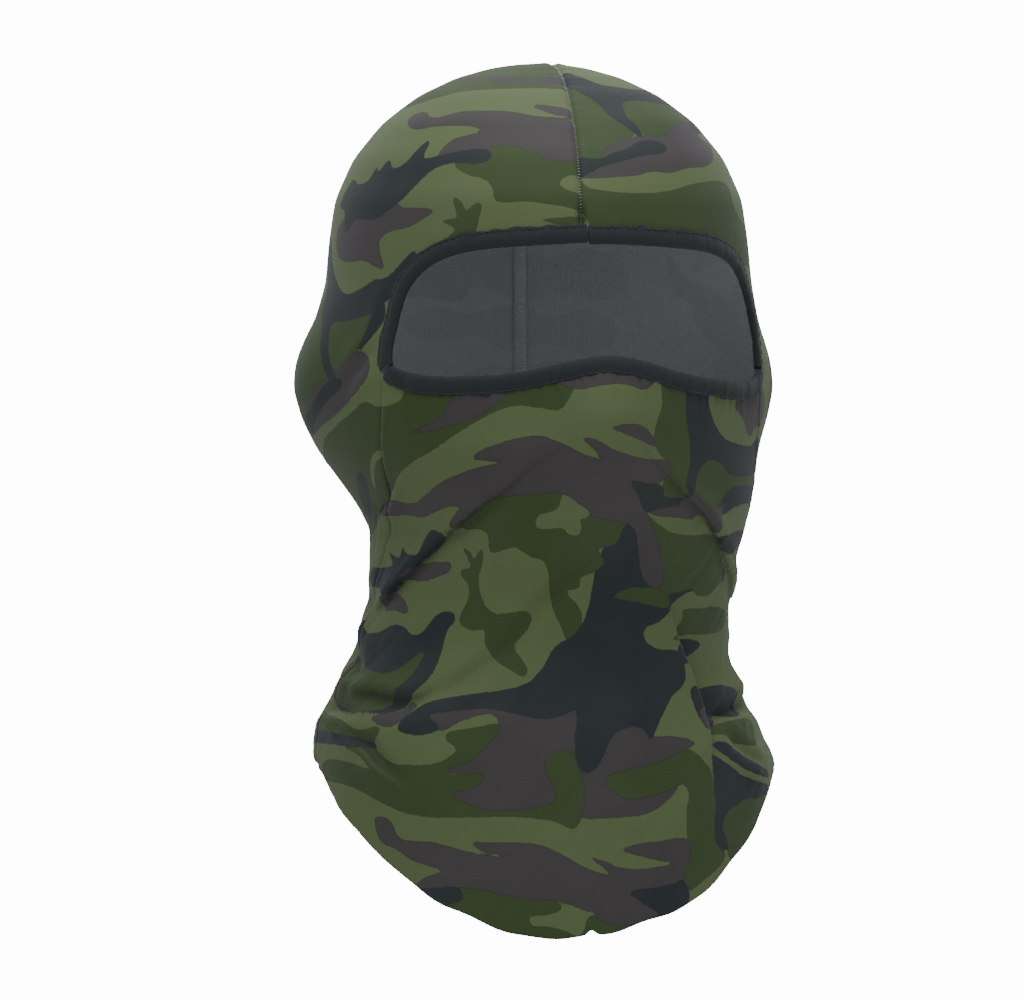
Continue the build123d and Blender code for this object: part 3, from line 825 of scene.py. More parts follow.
def edge_distance(points, outline):
    """Signed distance from points to a closed outline, negative inside it."""
    start = outline
    step = np.roll(outline, -1, 0) - outline
    nearest = np.full(len(points), np.inf)
    crossings = np.zeros(len(points), int)
    for (x, y), (dx, dy) in zip(start, step):
        gap_x = points[:, 0] - x
        gap_y = points[:, 1] - y
        share = np.clip((gap_x * dx + gap_y * dy) / max(dx * dx + dy * dy, 1e-9), 0, 1)
        nearest = np.minimum(nearest, np.hypot(gap_x - share * dx, gap_y - share * dy))
        spans = (gap_y >= 0) != (gap_y >= dy)
        if dy:
            crossings += spans & (gap_x < gap_y * dx / dy)
    return np.where(crossings % 2 == 1, -nearest, nearest)


def closed_curve(points, samples_each=4):
    """A smooth closed outline through given points."""
    around_twice = list(points[-1:]) + list(points) + list(points[:2])
    line = curve_through(around_twice, samples_each)
    return line[samples_each:-(samples_each + 1)]


def print_distances(across, up):
    """Distance in mm from each point to the area of each colour, negative inside it."""
    spots = np.stack([across, up], axis=-1) / MM
    colours = {name: np.full(len(spots), float(PRINT_MARGIN)) for name in ("green", "brown", "navy")}
    for colour, points in PRINT_SHAPES:
        outline = closed_curve(points)
        for shift in (-PRINT_REPEAT, 0, PRINT_REPEAT):
            moved = outline + [shift, 0]
            low = moved.min(axis=0) - PRINT_MARGIN
            high = moved.max(axis=0) + PRINT_MARGIN
            near = np.flatnonzero(np.all((spots > low) & (spots < high), axis=1))
            distance = np.clip(edge_distance(spots[near], moved), -PRINT_MARGIN, PRINT_MARGIN)
            for name, values in colours.items():
                if name == colour:
                    values[near] = np.minimum(values[near], distance)
                else:
                    values[near] = np.maximum(values[near], -distance)
    return colours


# ---- materials ------------------------------------------------------------------------------
def shader(name):
    """A new material, its node tree and its main shader."""
    material = bpy.data.materials.new(name)
    material.use_nodes = True
    tree = material.node_tree
    return material, tree, tree.nodes["Principled BSDF"]


def linear(rgb):
    """A colour picked in 0-255 screen values, as linear light."""
    out = []
    for value in rgb:
        share = value / 255
        out.append(share / 12.92 if share <= 0.04045 else ((share + 0.055) / 1.055) ** 2.4)
    return (*out, 1)


def node(tree, kind, **settings):
    """A new node with its properties and input values set; keys that start with in_ are inputs."""
    made = tree.nodes.new(kind)
    for key, value in settings.items():
        if key.startswith("in_"):
            name = key[3:]
            made.inputs[int(name) if name.isdigit() else name].default_value = value
        else:
            setattr(made, key, value)
    return made


def calc(tree, operation, first, second=0.0):
    """A maths node on two values, each a socket or a number; returns its output."""
    made = node(tree, "ShaderNodeMath", operation=operation)
    for slot, value in enumerate((first, second)):
        if isinstance(value, (int, float)):
            made.inputs[slot].default_value = value
        else:
            tree.links.new(value, made.inputs[slot])
    return made.outputs[0]


def mixed(tree, factor, first, second, blend="MIX"):
    """A colour mix; factor and colours are sockets or values."""
    made = node(tree, "ShaderNodeMix", data_type="RGBA", blend_type=blend)
    for name, value in ((0, factor), (6, first), (7, second)):
        if hasattr(value, "is_linked") or hasattr(value, "links"):
            tree.links.new(value, made.inputs[name])
        else:
            made.inputs[name].default_value = value
    return made.outputs[2]


def ramped(tree, value, low, high):
    """0 below low and 1 above high, smooth between."""
    made = node(tree, "ShaderNodeMapRange", interpolation_type="SMOOTHSTEP", in_1=low, in_2=high)
    tree.links.new(value, made.inputs[0])
    return made.outputs[0]


def attribute(tree, name):
    """A value kept on the mesh."""
    return node(tree, "ShaderNodeAttribute", attribute_name=name).outputs["Fac"]


def noise(tree, scale, detail):
    """Cloudy noise fixed to the piece."""
    made = node(tree, "ShaderNodeTexNoise", in_Scale=scale, in_Detail=detail)
    place = node(tree, "ShaderNodeTexCoord").outputs["Object"]
    tree.links.new(place, made.inputs["Vector"])
    return made.outputs["Fac"]


def bumped(tree, surface, height, strength, distance):
    """Fine relief on a surface from a height value."""
    made = node(tree, "ShaderNodeBump", in_Strength=strength, in_Distance=distance)
    tree.links.new(height, made.inputs["Height"])
    tree.links.new(made.outputs["Normal"], surface.inputs["Normal"])


def dress(tree, surface, colour, rough, varied, spread, **sockets):
    """Colour, roughness that varies from rough upwards by spread, and other values by socket name."""
    tree.links.new(colour, surface.inputs["Base Color"])
    roughness = calc(tree, "ADD", rough, calc(tree, "MULTIPLY", varied, spread))
    tree.links.new(roughness, surface.inputs["Roughness"])
    for name, value in sockets.items():
        surface.inputs[name.replace("_", " ")].default_value = value


def knit_height(tree, loop, row):
    """Columns of small V-shaped loops on the flat cloth's own coordinates."""
    across = attribute(tree, "cloth_across")
    up = attribute(tree, "cloth_up")
    wale = calc(tree, "FRACT", calc(tree, "DIVIDE", across, loop))
    wale = calc(tree, "ABSOLUTE", calc(tree, "SUBTRACT", wale, 0.5))
    course = calc(tree, "ADD", calc(tree, "DIVIDE", up, row), wale)
    course = calc(tree, "SINE", calc(tree, "MULTIPLY", course, 2 * math.pi))
    groove = calc(tree, "COSINE", calc(tree, "MULTIPLY", wale, 2 * math.pi))
    return calc(tree, "ADD", calc(tree, "MULTIPLY", course, 0.35), calc(tree, "MULTIPLY", groove, -0.65))


# Colours of the cloth, as 0 to 255 screen values.
LIGHT_GREEN = (82, 97, 60)
DARK_GREEN = (48, 66, 29)
BROWN = (59, 54, 57)
NAVY = (26, 35, 40)
OUTLINE = (34, 34, 28)                       # thin dark line where two inks meet
# painted shadow colour, laid on the cloth just beneath each overlap's edge
PAINTED_FOLD_SHADOW = (16, 18, 16)
EDGE = 0.10                                  # softness of a print edge, in mm
SPREAD = 0.3                                 # how far each ink spreads over the next, in mm


def printed_colour(tree):
    """The woodland print, from the distances to each colour's shapes kept on the mesh, in mm."""
    wobble = calc(tree, "MULTIPLY", calc(tree, "SUBTRACT", noise(tree, 420, 2), 0.5), 0.9)
    colour = linear(LIGHT_GREEN)
    for name, tint in (("green", DARK_GREEN), ("brown", BROWN), ("navy", NAVY)):
        distance = calc(tree, "ADD", attribute(tree, "print_" + name), wobble)
        distance = calc(tree, "SUBTRACT", distance, SPREAD)
        line = calc(tree, "SUBTRACT", 1.0, ramped(tree, calc(tree, "ABSOLUTE", distance), 0.05, 0.38))
        inside = calc(tree, "SUBTRACT", 1.0, ramped(tree, distance, -EDGE, EDGE))
        colour = mixed(tree, inside, colour, linear(tint))
        share = 0.5 if name == "brown" else 0.25
        colour = mixed(tree, calc(tree, "MULTIPLY", line, share), colour, linear(OUTLINE))
    return colour


def camo_outside():
    """The printed side: woodland print on fine knit, with painted shadow just beneath each overlap and
    painted shade in the knit's grooves.
    """
    material, tree, surface = shader("camo_knit_outside")
    colour = printed_colour(tree)
    beneath = ramped(tree, attribute(tree, "fold_gap"), -2.6, -0.2)
    above = calc(tree, "SUBTRACT", 1.0, ramped(tree, attribute(tree, "fold_gap"), 0.0, 0.6))
    shade = calc(tree, "MULTIPLY", calc(tree, "MULTIPLY", beneath, above), attribute(tree, "fold_shadow_strength"))
    # painted shadow: the print is darkened just beneath each overlap's edge, by that overlap's strength
    colour = mixed(tree, calc(tree, "MULTIPLY", shade, 0.55), colour, linear(PAINTED_FOLD_SHADOW))
    cloudy = ramped(tree, noise(tree, 22, 4), 0.3, 0.75)
    colour = mixed(tree, calc(tree, "MULTIPLY", cloudy, 0.07), colour, linear((104, 108, 98)))
    knit = knit_height(tree, 0.00062, 0.00055)
    # painted shade: the print is made darker where the knit's height is low, in its grooves
    loops = ramped(tree, knit, -1.0, 0.9)
    darker = mixed(tree, 1.0, colour, linear((232, 232, 232)), "MULTIPLY")
    colour = mixed(tree, loops, darker, colour)
    fuzz = noise(tree, 1900, 2)
    colour = mixed(tree, calc(tree, "MULTIPLY", fuzz, 0.05), colour, linear((120, 122, 118)))
    dress(tree, surface, colour, 0.62, fuzz, 0.16, Sheen_Weight=0.10, Sheen_Roughness=0.45,
          Sheen_Tint=(0.75, 0.78, 0.82, 1), Specular_IOR_Level=0.2)
    bumped(tree, surface, calc(tree, "ADD", knit, fuzz), 0.2, 0.0001)
    return material


def camo_inside():
    """The unprinted side: plain dark grey, with the print only just showing through."""
    material, tree, surface = shader("camo_knit_inside")
    ghost = mixed(tree, 0.30, linear((150, 152, 158)), printed_colour(tree))
    knit = knit_height(tree, 0.0009, 0.0006)
    fuzz = noise(tree, 1500, 2)
    colour = mixed(tree, calc(tree, "MULTIPLY", fuzz, 0.18), ghost, linear((165, 167, 172)))
    dress(tree, surface, colour, 0.78, fuzz, 0.12, Sheen_Weight=0.2, Specular_IOR_Level=0.2)
    bumped(tree, surface, calc(tree, "ADD", knit, fuzz), 0.3, 0.0001)
    return material


def tape_material():
    """Black ribbed tape with a matt, slightly fuzzy face."""
    material, tree, surface = shader("black_tape")
    along = attribute(tree, "tape_along")
    rib = calc(tree, "SINE", calc(tree, "MULTIPLY", along, 2 * math.pi / 0.0009))
    fuzz = noise(tree, 1400, 3)
    colour = mixed(tree, fuzz, linear((22, 27, 30)), linear((35, 41, 44)))
    dress(tree, surface, colour, 0.66, fuzz, 0.2, Sheen_Weight=0.08, Sheen_Roughness=0.5,
          Specular_IOR_Level=0.25)
    bumped(tree, surface, calc(tree, "ADD", calc(tree, "MULTIPLY", rib, 0.5), fuzz), 0.4, 0.00015)
    return material


def thread_material(name, dark, pale):
    """Twisted thread, with painted shade in the grooves and a paler painted highlight on the plies."""
    material, tree, surface = shader(name)
    twist = node(tree, "ShaderNodeTexWave", in_Scale=900.0, in_Distortion=2.0)
    place = node(tree, "ShaderNodeTexCoord").outputs["Object"]
    tree.links.new(place, twist.inputs["Vector"])
    colour = mixed(tree, twist.outputs["Fac"], linear(dark), linear(pale))
    dress(tree, surface, colour, 0.45, twist.outputs["Fac"], 0.2, Sheen_Weight=0.15)
    bumped(tree, surface, twist.outputs["Fac"], 0.5, 0.0001)
    return material


outside_knit = camo_outside()
inside_knit = camo_inside()
black_tape = tape_material()
black_thread = thread_material("black_thread", (16, 18, 20), (32, 35, 38))
seam_thread = thread_material("overlock_thread", (140, 143, 147), (160, 163, 168))


# ---- building meshes ------------------------------------------------------------------------
def make_object(name, verts, faces, materials):
    """A smooth-shaded mesh object, linked to the scene."""
    mesh = bpy.data.meshes.new(name)
    mesh.from_pydata([tuple(v) for v in verts], [], [tuple(int(i) for i in f) for f in faces])
    for material in materials:
        mesh.materials.append(material)
    mesh.polygons.foreach_set("use_smooth", [True] * len(mesh.polygons))
    mesh.validate()
    mesh.update()
    made = bpy.data.objects.new(name, mesh)
    bpy.context.collection.objects.link(made)
    return made


def tube_faces(rings, sides, first=0):
    """Faces of a closed tube of rings of points, with a cap at each end."""
    faces = []
    for i in range(rings - 1):
        a = first + i * sides
        for k in range(sides):
            m = (k + 1) % sides
            faces.append((a + k, a + m, a + sides + m, a + sides + k))
    faces.append(tuple(first + k for k in reversed(range(sides))))
    faces.append(tuple(first + (rings - 1) * sides + k for k in range(sides)))
    return faces


def hand_over(piece, node_name):
    """Puts a piece on the mask's one body, in place of a CAD node."""
    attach(piece, "root")
    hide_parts(node_name)


def add_values(piece, name, values):
    """Keeps one number per vertex on the mesh."""
    layer = piece.data.attributes.new(name, "FLOAT", "POINT")
    layer.data.foreach_set("value", np.asarray(values, np.float32))


def belongs(piece_name):
    """Which grid cells are part of a panel."""
    cells = np.zeros((ROWS - 1, COLUMNS), bool)
    row = np.arange(ROWS - 1)[:, None]
    column = np.arange(COLUMNS)[None, :]
    front = column < column_starts[2]
    below = row >= FACE_ROW
    if piece_name == "face_bib_panel":
        cells = front & below
    elif piece_name == "hood_panel_right":
        cells = ((column < column_starts[1]) & ~below) | (column >= column_starts[3])
    else:
        cells = ((column >= column_starts[1]) & front & ~below)
        cells = cells | ((column >= column_starts[2]) & (column < column_starts[3]))
    inside = eye_distance < 3 * MM
    touched = inside | np.roll(inside, -1, 1)
    touched = touched[:-1] | touched[1:]
    return cells & ~touched


def cloth_panel(name, first_sector):
    """One sewn panel of printed knit, cut from the grid, with its flat cloth coordinates kept on the mesh.
    """
    cells = belongs(name)
    across, up = flat_cloth(first_sector)
    number = -np.ones((ROWS, COLUMNS), int)
    verts = []
    values = []
    faces = []

    def corner(r, c):
        c = c % COLUMNS
        key = (0, 0) if r == 0 else (r, c)
        if number[key] < 0:
            number[key] = len(verts)
            verts.append(skin[key])
            values.append((across[r, c], up[r, c], fold_gap[key], fold_shadow_strength[key]))
        return number[key]

    for r, c in zip(*np.nonzero(cells)):
        ring = [corner(r, c), corner(r + 1, c), corner(r + 1, c + 1), corner(r, c + 1)]
        ring = list(dict.fromkeys(ring))
        faces.append(ring)
    piece = make_object("knit_" + name, verts, faces, [outside_knit, inside_knit])
    values = np.array(values)
    add_values(piece, "cloth_across", values[:, 0])
    add_values(piece, "cloth_up", values[:, 1])
    add_values(piece, "fold_gap", values[:, 2])
    add_values(piece, "fold_shadow_strength", values[:, 3])
    for layer, distance in print_distances(values[:, 0], values[:, 1]).items():
        add_values(piece, "print_" + layer, distance)
    hollow = piece.modifiers.new("thickness", "SOLIDIFY")
    hollow.thickness = CLOTH
    hollow.offset = -1
    hollow.material_offset = 1
    hollow.material_offset_rim = 0
    hand_over(piece, name)


def recalculate_outside(piece):
    """Turns every face of a closed piece outwards."""
    work = bmesh.new()
    work.from_mesh(piece.data)
    bmesh.ops.recalc_face_normals(work, faces=work.faces)
    work.to_mesh(piece.data)
    work.free()


# ---- the binding round the opening ----------------------------------------------------------
# The tape's section, (across, up): 0 across is the fold at the opening, 7.5 mm its stitched edge.
TAPE_PROFILE = [(w * MM, h * MM) for w, h in (
    (7.5, 0.05), (7.55, 0.55), (7.35, 0.85), (6.6, 0.72), (5.6, 1.05), (3.8, 1.38), (2.0, 1.32), (0.7, 0.95),
    (0.0, 0.25), (-0.15, -0.4), (0.25, -1.05), (1.2, -1.6), (3.0, -1.9), (5.4, -1.75), (6.9, -1.45),
    (7.2, -1.1), (7.0, -0.8), (6.0, -0.75))]


def fold_run(start_index, end_index):
    """Fold samples from one index on to another, going round the closed line."""
    count = len(fold_line)
    length = (end_index - start_index) % count
    return (start_index + np.arange(length + 1)) % count


def nearest_fold(x, z):
    """The fold sample nearest a place seen from the front."""
    gaps = np.hypot(fold_line[:, 0] - x, fold_line[:, 2] - z)
    return int(np.argmin(gaps))


corner_left = nearest_fold(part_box("eye_binding_left")[1][0], FACE_TOP)
corner_right = nearest_fold(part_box("eye_binding_right")[0][0], FACE_TOP)
seam_meet = nearest_fold(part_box("eye_binding_left")[0][0], HIGH[2])


def tape_length(name, run, end_lift=0.0, side_shift=0.0):
    """One length of binding, following the fold; its last samples at each end can be lifted."""
    places = fold_line[run]
    outs = fold_normals[run]
    acrosses = fold_outward[run]
    place = np.arange(len(run)) * FOLD_STEP
    ripple = 1 + 0.05 * uneven(place, 11 * MM, 31)
    thick = 1 + 0.10 * uneven(place, 7 * MM, 33)
    samples = np.arange(len(run))
    lift_along = np.interp(samples, (0, 6, len(run) - 7, len(run) - 1), (end_lift, 0, 0, end_lift))
    verts = []
    alongs = []
    for i in range(len(run)):
        for w, h in TAPE_PROFILE:
            bend = -(w**2) / (2 * HEAD_RADIUS)
            spot = places[i] + acrosses[i] * (w * ripple[i] + side_shift)
            spot = spot + outs[i] * (h * thick[i] + bend + lift_along[i])
            verts.append(spot)
            alongs.append(place[i])
    piece = make_object("tape_" + name, verts, tube_faces(len(run), len(TAPE_PROFILE)), [black_tape])
    recalculate_outside(piece)
    add_values(piece, "tape_along", alongs)
    finer = piece.modifiers.new("rounding", "SUBSURF")
    finer.levels = 1
    finer.render_levels = 1
    hand_over(piece, name)


CAPSULE_RINGS = ((0.0, 0.45), (0.12, 0.9), (0.5, 1.0), (0.88, 0.9), (1.0, 0.45))  # along, width


def capsules(ends, radius, sides=6):
    """Many short rounded threads, each from one point to another, bowed outwards."""
    verts = []
    faces = []
    for start, end, out in ends:
        axis = end - start
        length = np.linalg.norm(axis)
        axis = axis / length
        side = np.cross(axis, out)
        side /= np.linalg.norm(side)
        up = np.cross(side, axis)
        first = len(verts)
        for share, size in CAPSULE_RINGS:
            bow = out * radius * 1.2 * math.sin(math.pi * share)
            for k in range(sides):
                turn = 2 * math.pi * k / sides
                ring = side * math.cos(turn) + up * math.sin(turn)
                verts.append(start + axis * length * share + bow + ring * radius * size)
        faces += tube_faces(len(CAPSULE_RINGS), sides, first)
    return verts, faces


def thread_piece(node_name, ends, radius):
    """Stitches of black thread that stand for one CAD node."""
    verts, faces = capsules(ends, radius)
    piece = make_object("thread_" + node_name, verts, faces, [black_thread])
    recalculate_outside(piece)
    hand_over(piece, node_name)


STITCH = 2.1 * MM
STITCH_GAP = 0.7 * MM
STITCH_START = 1.5 * MM
STITCH_HEIGHT = 0.55 * MM
THREAD_RADIUS = 0.16 * MM


def stitch_row(node_name, run, across, side_shift=0.0):
    """A row of running stitches on the tape, beside its edge."""
    ends = []
    step = STITCH + STITCH_GAP
    place = STITCH_START
    while place + STITCH < (len(run) - 2) * FOLD_STEP:
        pair = []
        for along in (place, place + STITCH):
            i = along / FOLD_STEP
            low = int(i)
            t = i - low
            spots = []
            for k in (run[low], run[low + 1]):
                beside_fold = fold_line[k] + fold_outward[k] * (across + side_shift)
                spots.append(beside_fold + fold_normals[k] * STITCH_HEIGHT)
            pair.append(spots[0] * (1 - t) + spots[1] * t)
        ends.append((pair[0], pair[1], fold_normals[run[low]]))
        place += step
    thread_piece(node_name, ends, THREAD_RADIUS)


def goes_over_brow(start, end):
    """Whether the way round the opening from start to end passes above the eyes."""
    run = fold_run(start, end)
    return fold_line[run, 2].mean() > 0


if goes_over_brow(corner_right, corner_left):
    right_run = fold_run(corner_right, seam_meet)
    left_run = fold_run(seam_meet, corner_left)
    lower_run = fold_run(corner_left, corner_right)
else:
    right_run = fold_run(seam_meet, corner_right)
    left_run = fold_run(corner_left, seam_meet)
    lower_run = fold_run(corner_right, corner_left)

RIGHT_SHIFT = 0.35 * MM                      # the two upper tapes meet with a small step
LEFT_SHIFT = -0.25 * MM
LOWER_LIFT = 0.5 * MM                       # the lower tape's ends lie over the upper ones
UPPER_STITCH = 6.7 * MM                     # from the fold to the row of stitches
LOWER_STITCH = 6.9 * MM
tape_length("eye_binding_right", right_run, side_shift=RIGHT_SHIFT)
tape_length("eye_binding_left", left_run, side_shift=LEFT_SHIFT)
tape_length("eye_binding_lower", lower_run, end_lift=LOWER_LIFT)
stitch_row("binding_stitch_right", right_run, UPPER_STITCH, RIGHT_SHIFT)
stitch_row("binding_stitch_left", left_run, UPPER_STITCH, LEFT_SHIFT)
stitch_row("binding_stitch_lower", lower_run, LOWER_STITCH)

TACK_STITCHES = 9
TACK_PITCH = 0.28 * MM
TACK_START = 1.0 * MM                       # across the tape, from the fold
TACK_END = 5.4 * MM
TACK_HEIGHT = 1.35 * MM
TACK_THREAD_RADIUS = 0.17 * MM
for node_name, corner in (("corner_tack_left", corner_left), ("corner_tack_right", corner_right)):
    ends = []
    along = np.roll(fold_line, -1, 0)[corner] - fold_line[corner]
    along = along / np.linalg.norm(along)
    out = fold_normals[corner]
    for k in range(TACK_STITCHES):
        near = fold_line[corner] + fold_outward[corner] * TACK_START + along * (k - 4) * TACK_PITCH
        far = fold_line[corner] + fold_outward[corner] * TACK_END + along * (k - 3.5) * TACK_PITCH
        ends.append((near + out * TACK_HEIGHT, far + out * TACK_HEIGHT, out))
    thread_piece(node_name, ends, TACK_THREAD_RADIUS)


# ---- seam allowances inside -----------------------------------------------------------------
OVERLOCK_STEP = 1.3 * MM
OVERLOCK_RADIUS = 0.14 * MM
OVERLOCK_DEPTH = 1.25 * MM                   # the thread's depth under the outer face
ALLOWANCE_TOP = 0.65 * MM
ALLOWANCE_MIDDLE = 1.0 * MM
ALLOWANCE_BOTTOM = 1.3 * MM
TICK = 0.55 * MM                            # half the length of a needle mark outside


def seam_ridge(node_name, cells, width, outside_ticks=False):
    """An overlocked allowance under a line of grid points, wound with slanting thread."""
    path = np.array([skin[cell] for cell in cells])
    outs = np.array([skin_normals[cell] for cell in cells])
    along = np.concatenate([[0], np.cumsum(np.linalg.norm(np.diff(path, axis=0), axis=1))])
    places = np.arange(0, along[-1], OVERLOCK_STEP)
    path = np.stack([np.interp(places, along, path[:, k]) for k in range(3)], axis=-1)
    outs = np.stack([np.interp(places, along, outs[:, k]) for k in range(3)], axis=-1)
    outs /= np.linalg.norm(outs, axis=1, keepdims=True)
    ahead = np.gradient(path, axis=0)
    acrosses = np.cross(ahead, outs)
    acrosses /= np.linalg.norm(acrosses, axis=1, keepdims=True)
    half = width / 2
    ends = []
    for i in range(len(places) - 1):
        left = path[i] - acrosses[i] * half - outs[i] * OVERLOCK_DEPTH
        right = path[i + 1] + acrosses[i + 1] * half - outs[i + 1] * OVERLOCK_DEPTH
        back = path[i + 1] - acrosses[i + 1] * half - outs[i + 1] * ALLOWANCE_BOTTOM
        ends.append((left, right, -outs[i]))
        ends.append((right, back, -outs[i]))
        if outside_ticks:
            spot = path[i] + outs[i] * 0.02 * MM
            ends.append((spot - acrosses[i] * TICK, spot + acrosses[i] * TICK, outs[i]))
    verts, faces = capsules(ends, OVERLOCK_RADIUS, sides=5)
    wide = half * 1.02
    section = [(-half, ALLOWANCE_TOP), (half, ALLOWANCE_TOP), (wide, ALLOWANCE_MIDDLE),
               (half, ALLOWANCE_BOTTOM), (-half, ALLOWANCE_BOTTOM), (-wide, ALLOWANCE_MIDDLE)]
    first = len(verts)
    for i in range(len(places)):
        for side, depth in section:
            verts.append(path[i] + acrosses[i] * side - outs[i] * depth)
    faces += tube_faces(len(places), len(section), first)
    piece = make_object("thread_" + node_name, verts, faces, [seam_thread])
    recalculate_outside(piece)
    hand_over(piece, node_name)


front_column = column_starts[1]
back_column = column_starts[3]
edge_row = int(np.argmax(eye_distance[:, front_column] < BINDING_WIDTH)) - 1
crown_cells = [(r, front_column) for r in range(edge_row, 0, -1)]
crown_cells += [(r, back_column) for r in range(1, ROWS)]
CROWN_ALLOWANCE = 5 * MM
SIDE_ALLOWANCE = 4 * MM
below_corner = FACE_ROW + 8
side_rows = range(below_corner, ROWS)
seam_ridge("crown_seam_thread", crown_cells, CROWN_ALLOWANCE, outside_ticks=True)
seam_ridge("side_seam_thread_left", [(r, column_starts[2]) for r in side_rows], SIDE_ALLOWANCE)
seam_ridge("side_seam_thread_right", [(r, 0) for r in side_rows], SIDE_ALLOWANCE)


# ---- a blank label inside the nape ----------------------------------------------------------
LABEL_THICKNESS = 0.2 * MM


def care_label():
    """A blank satin label that hangs under the back seam."""
    material, tree, surface = shader("label_satin")
    weave = node(tree, "ShaderNodeTexWave", in_Scale=1300.0, in_Distortion=0.5)
    tree.links.new(node(tree, "ShaderNodeTexCoord").outputs["Object"], weave.inputs["Vector"])
    # painted shade: the satin is darker where the weave's height is low and paler where it is high
    colour = mixed(tree, weave.outputs["Fac"], linear((206, 206, 200)), linear((228, 228, 223)))
    dress(tree, surface, colour, 0.4, weave.outputs["Fac"], 0.2)
    bumped(tree, surface, weave.outputs["Fac"], 0.3, 0.00008)
    low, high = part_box("care_label")
    inner = [
        (r, c) for r in range(CROWN_ROWS, ROWS) for c in range(column_starts[2], column_starts[3])
        if low[2] <= skin[r, c, 2] <= high[2] and low[0] <= skin[r, c, 0] <= high[0] and skin[r, c, 1] > 0
    ]
    rows = sorted({r for r, c in inner})
    columns = sorted({c for r, c in inner})
    verts = []
    for r in rows:
        for c in columns:
            share = (r - rows[0]) / (len(rows) - 1)
            hang = 0.3 * MM + 1.6 * MM * share**2 + 0.4 * MM * math.sin(c * 0.6) * share
            verts.append(skin[r, c] - skin_normals[r, c] * (CLOTH + hang))
    faces = []
    wide = len(columns)
    for i in range(len(rows) - 1):
        for k in range(wide - 1):
            faces.append((i * wide + k, i * wide + k + 1, (i + 1) * wide + k + 1, (i + 1) * wide + k))
    piece = make_object("blank_care_label", verts, faces, [material])
    thick = piece.modifiers.new("thickness", "SOLIDIFY")
    thick.thickness = LABEL_THICKNESS
    hand_over(piece, "care_label")


care_label()


# ---- panels ---------------------------------------------------------------------------------
cloth_panel("hood_panel_right", 0)
cloth_panel("hood_panel_left", 1)
cloth_panel("face_bib_panel", 0)

elastic_material = thread_material("covered_elastic", (24, 24, 25), (40, 40, 42))
ELASTIC_SIDES = 8
ELASTIC_RADIUS = 0.5 * MM
ELASTIC_ACROSS = 1.5 * MM                   # from the fold, inside the tape
ELASTIC_DEPTH = 0.45 * MM


def elastic_cord(node_name, run):
    """A round elastic that lies in the fold of the tape."""
    verts = []
    for k in run:
        middle = fold_line[k] + fold_outward[k] * ELASTIC_ACROSS - fold_normals[k] * ELASTIC_DEPTH
        for i in range(ELASTIC_SIDES):
            turn = 2 * math.pi * i / ELASTIC_SIDES
            ring = fold_outward[k] * math.cos(turn) + fold_normals[k] * math.sin(turn)
            verts.append(middle + ring * ELASTIC_RADIUS)
    faces = tube_faces(len(run), ELASTIC_SIDES)
    piece = make_object("cord_" + node_name, verts, faces, [elastic_material])
    recalculate_outside(piece)
    hand_over(piece, node_name)


elastic_cord("eye_elastic_right", right_run)
elastic_cord("eye_elastic_left", left_run)
elastic_cord("eye_elastic_lower", lower_run)


# ---- floor, light and camera ----------------------------------------------------------------
def soft_light(name, place, aim, size, power):
    """A square lamp of a given side, turned towards a point."""
    data = bpy.data.lights.new(name, "AREA")
    data.shape = "RECTANGLE"
    data.size = size
    data.size_y = size
    data.energy = power
    light = bpy.data.objects.new(name, data)
    light.location = place
    light.rotation_euler = (Vector(aim) - Vector(place)).to_track_quat("-Z", "Y").to_euler()
    bpy.context.collection.objects.link(light)


FLOOR_DROP = 0.35                           # the floor is this far under the mask
FLOOR_HALF = 6.0


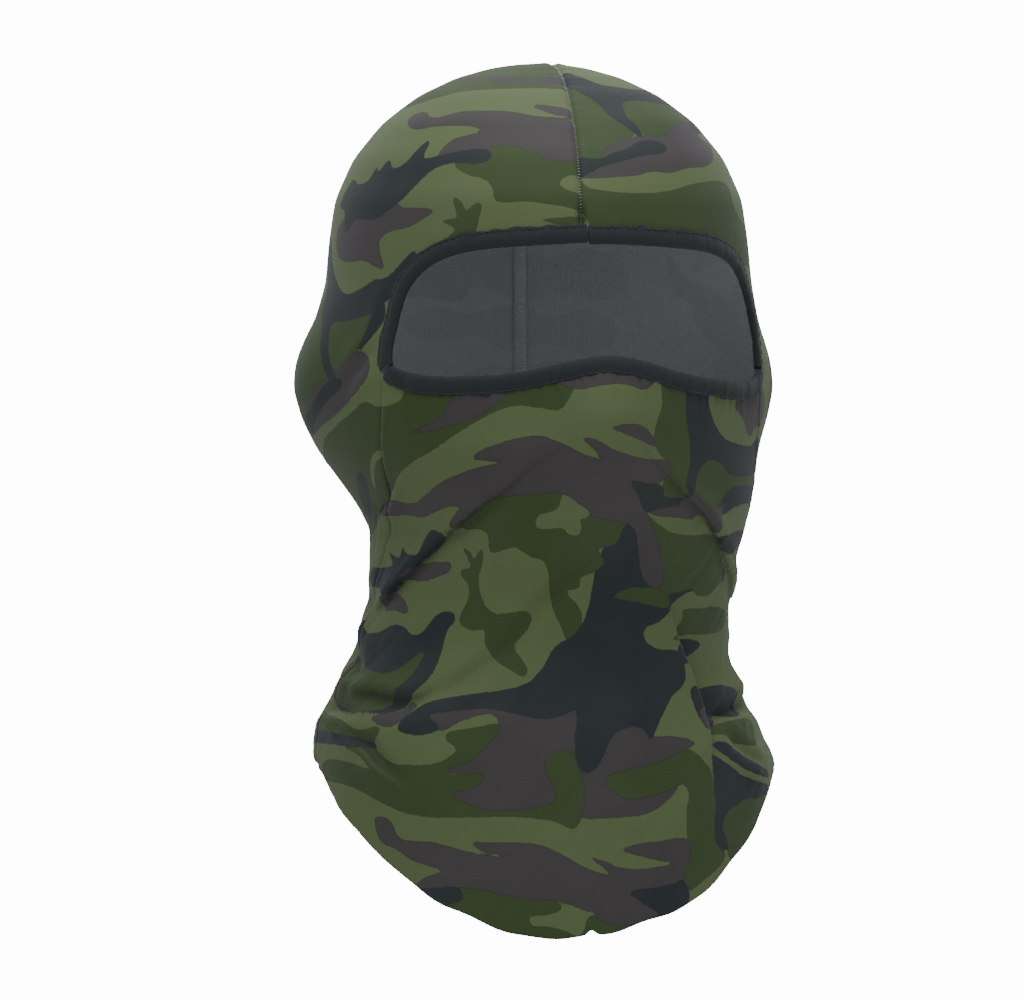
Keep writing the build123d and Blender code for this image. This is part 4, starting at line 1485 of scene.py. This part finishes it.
def pale_floor():
    """A plain pale floor under the mask."""
    material, tree, surface = shader("pale_floor")
    grain = noise(tree, 3, 2)
    colour = mixed(tree, grain, linear((246, 246, 246)), linear((250, 250, 250)))
    tree.links.new(colour, surface.inputs["Base Color"])
    surface.inputs["Roughness"].default_value = 0.9
    level = LOW[2] - FLOOR_DROP
    corners = [(x * FLOOR_HALF, y * FLOOR_HALF, level) for x, y in ((-1, -1), (1, -1), (1, 1), (-1, 1))]
    mesh = bpy.data.meshes.new("floor")
    mesh.from_pydata(corners, [], [(0, 1, 2, 3)])
    mesh.materials.append(material)
    floor = bpy.data.objects.new("floor", mesh)
    bpy.context.collection.objects.link(floor)


CAMERA_YAW = math.radians(15)
CAMERA_DISTANCE = 8.0
PIXELS_PER_METRE = 2500
SENSOR = 36.0
IMAGE_WIDTH = 1024

pale_floor()
centre = (LOW + HIGH) / 2
aim = Vector((-0.0100, 0.0027, centre[2] - 0.0005))
forward = Vector((math.sin(CAMERA_YAW), math.cos(CAMERA_YAW), 0))
camera_data = bpy.data.cameras.new("camera")
camera_data.sensor_width = SENSOR
camera_data.lens = SENSOR * PIXELS_PER_METRE * CAMERA_DISTANCE / IMAGE_WIDTH
camera = bpy.data.objects.new("camera", camera_data)
camera.location = aim - forward * CAMERA_DISTANCE
camera.rotation_euler = forward.to_track_quat("-Z", "Y").to_euler()
bpy.context.collection.objects.link(camera)
bpy.context.scene.camera = camera

for lamp, place, size, power in (
    ("key", (-0.7, -1.2, 1.4), 0.8, 19),
    ("fill", (1.3, -1.1, 0.3), 1.4, 4),
    ("top", (0, -0.1, 1.3), 1.0, 17),
    ("back", (0.3, 1.3, 0.7), 1.2, 5),
):
    soft_light(lamp, place, centre, size, power)
INNER_POWER = 0.06                          # light that reaches the inside through the opening
inner_lamp = bpy.data.lights.new("inside", "POINT")
inner_lamp.energy = INNER_POWER
inner_lamp.shadow_soft_size = 0.04
inner_light = bpy.data.objects.new("inside", inner_lamp)
inner_light.location = (0, 0, 0.01)
bpy.context.collection.objects.link(inner_light)

BACKDROP = 14.0                             # the background is seen at this strength
ROOM = 0.35                                 # and lights the mask at this one
world = bpy.data.worlds.new("studio")
bpy.context.scene.world = world
world.use_nodes = True
seen = world.node_tree.nodes.new("ShaderNodeLightPath").outputs["Is Camera Ray"]
brightness = calc(world.node_tree, "ADD", calc(world.node_tree, "MULTIPLY", seen, BACKDROP - ROOM), ROOM)
background = world.node_tree.nodes["Background"]
background.inputs["Color"].default_value = (1, 1, 1, 1)
world.node_tree.links.new(brightness, background.inputs["Strength"])
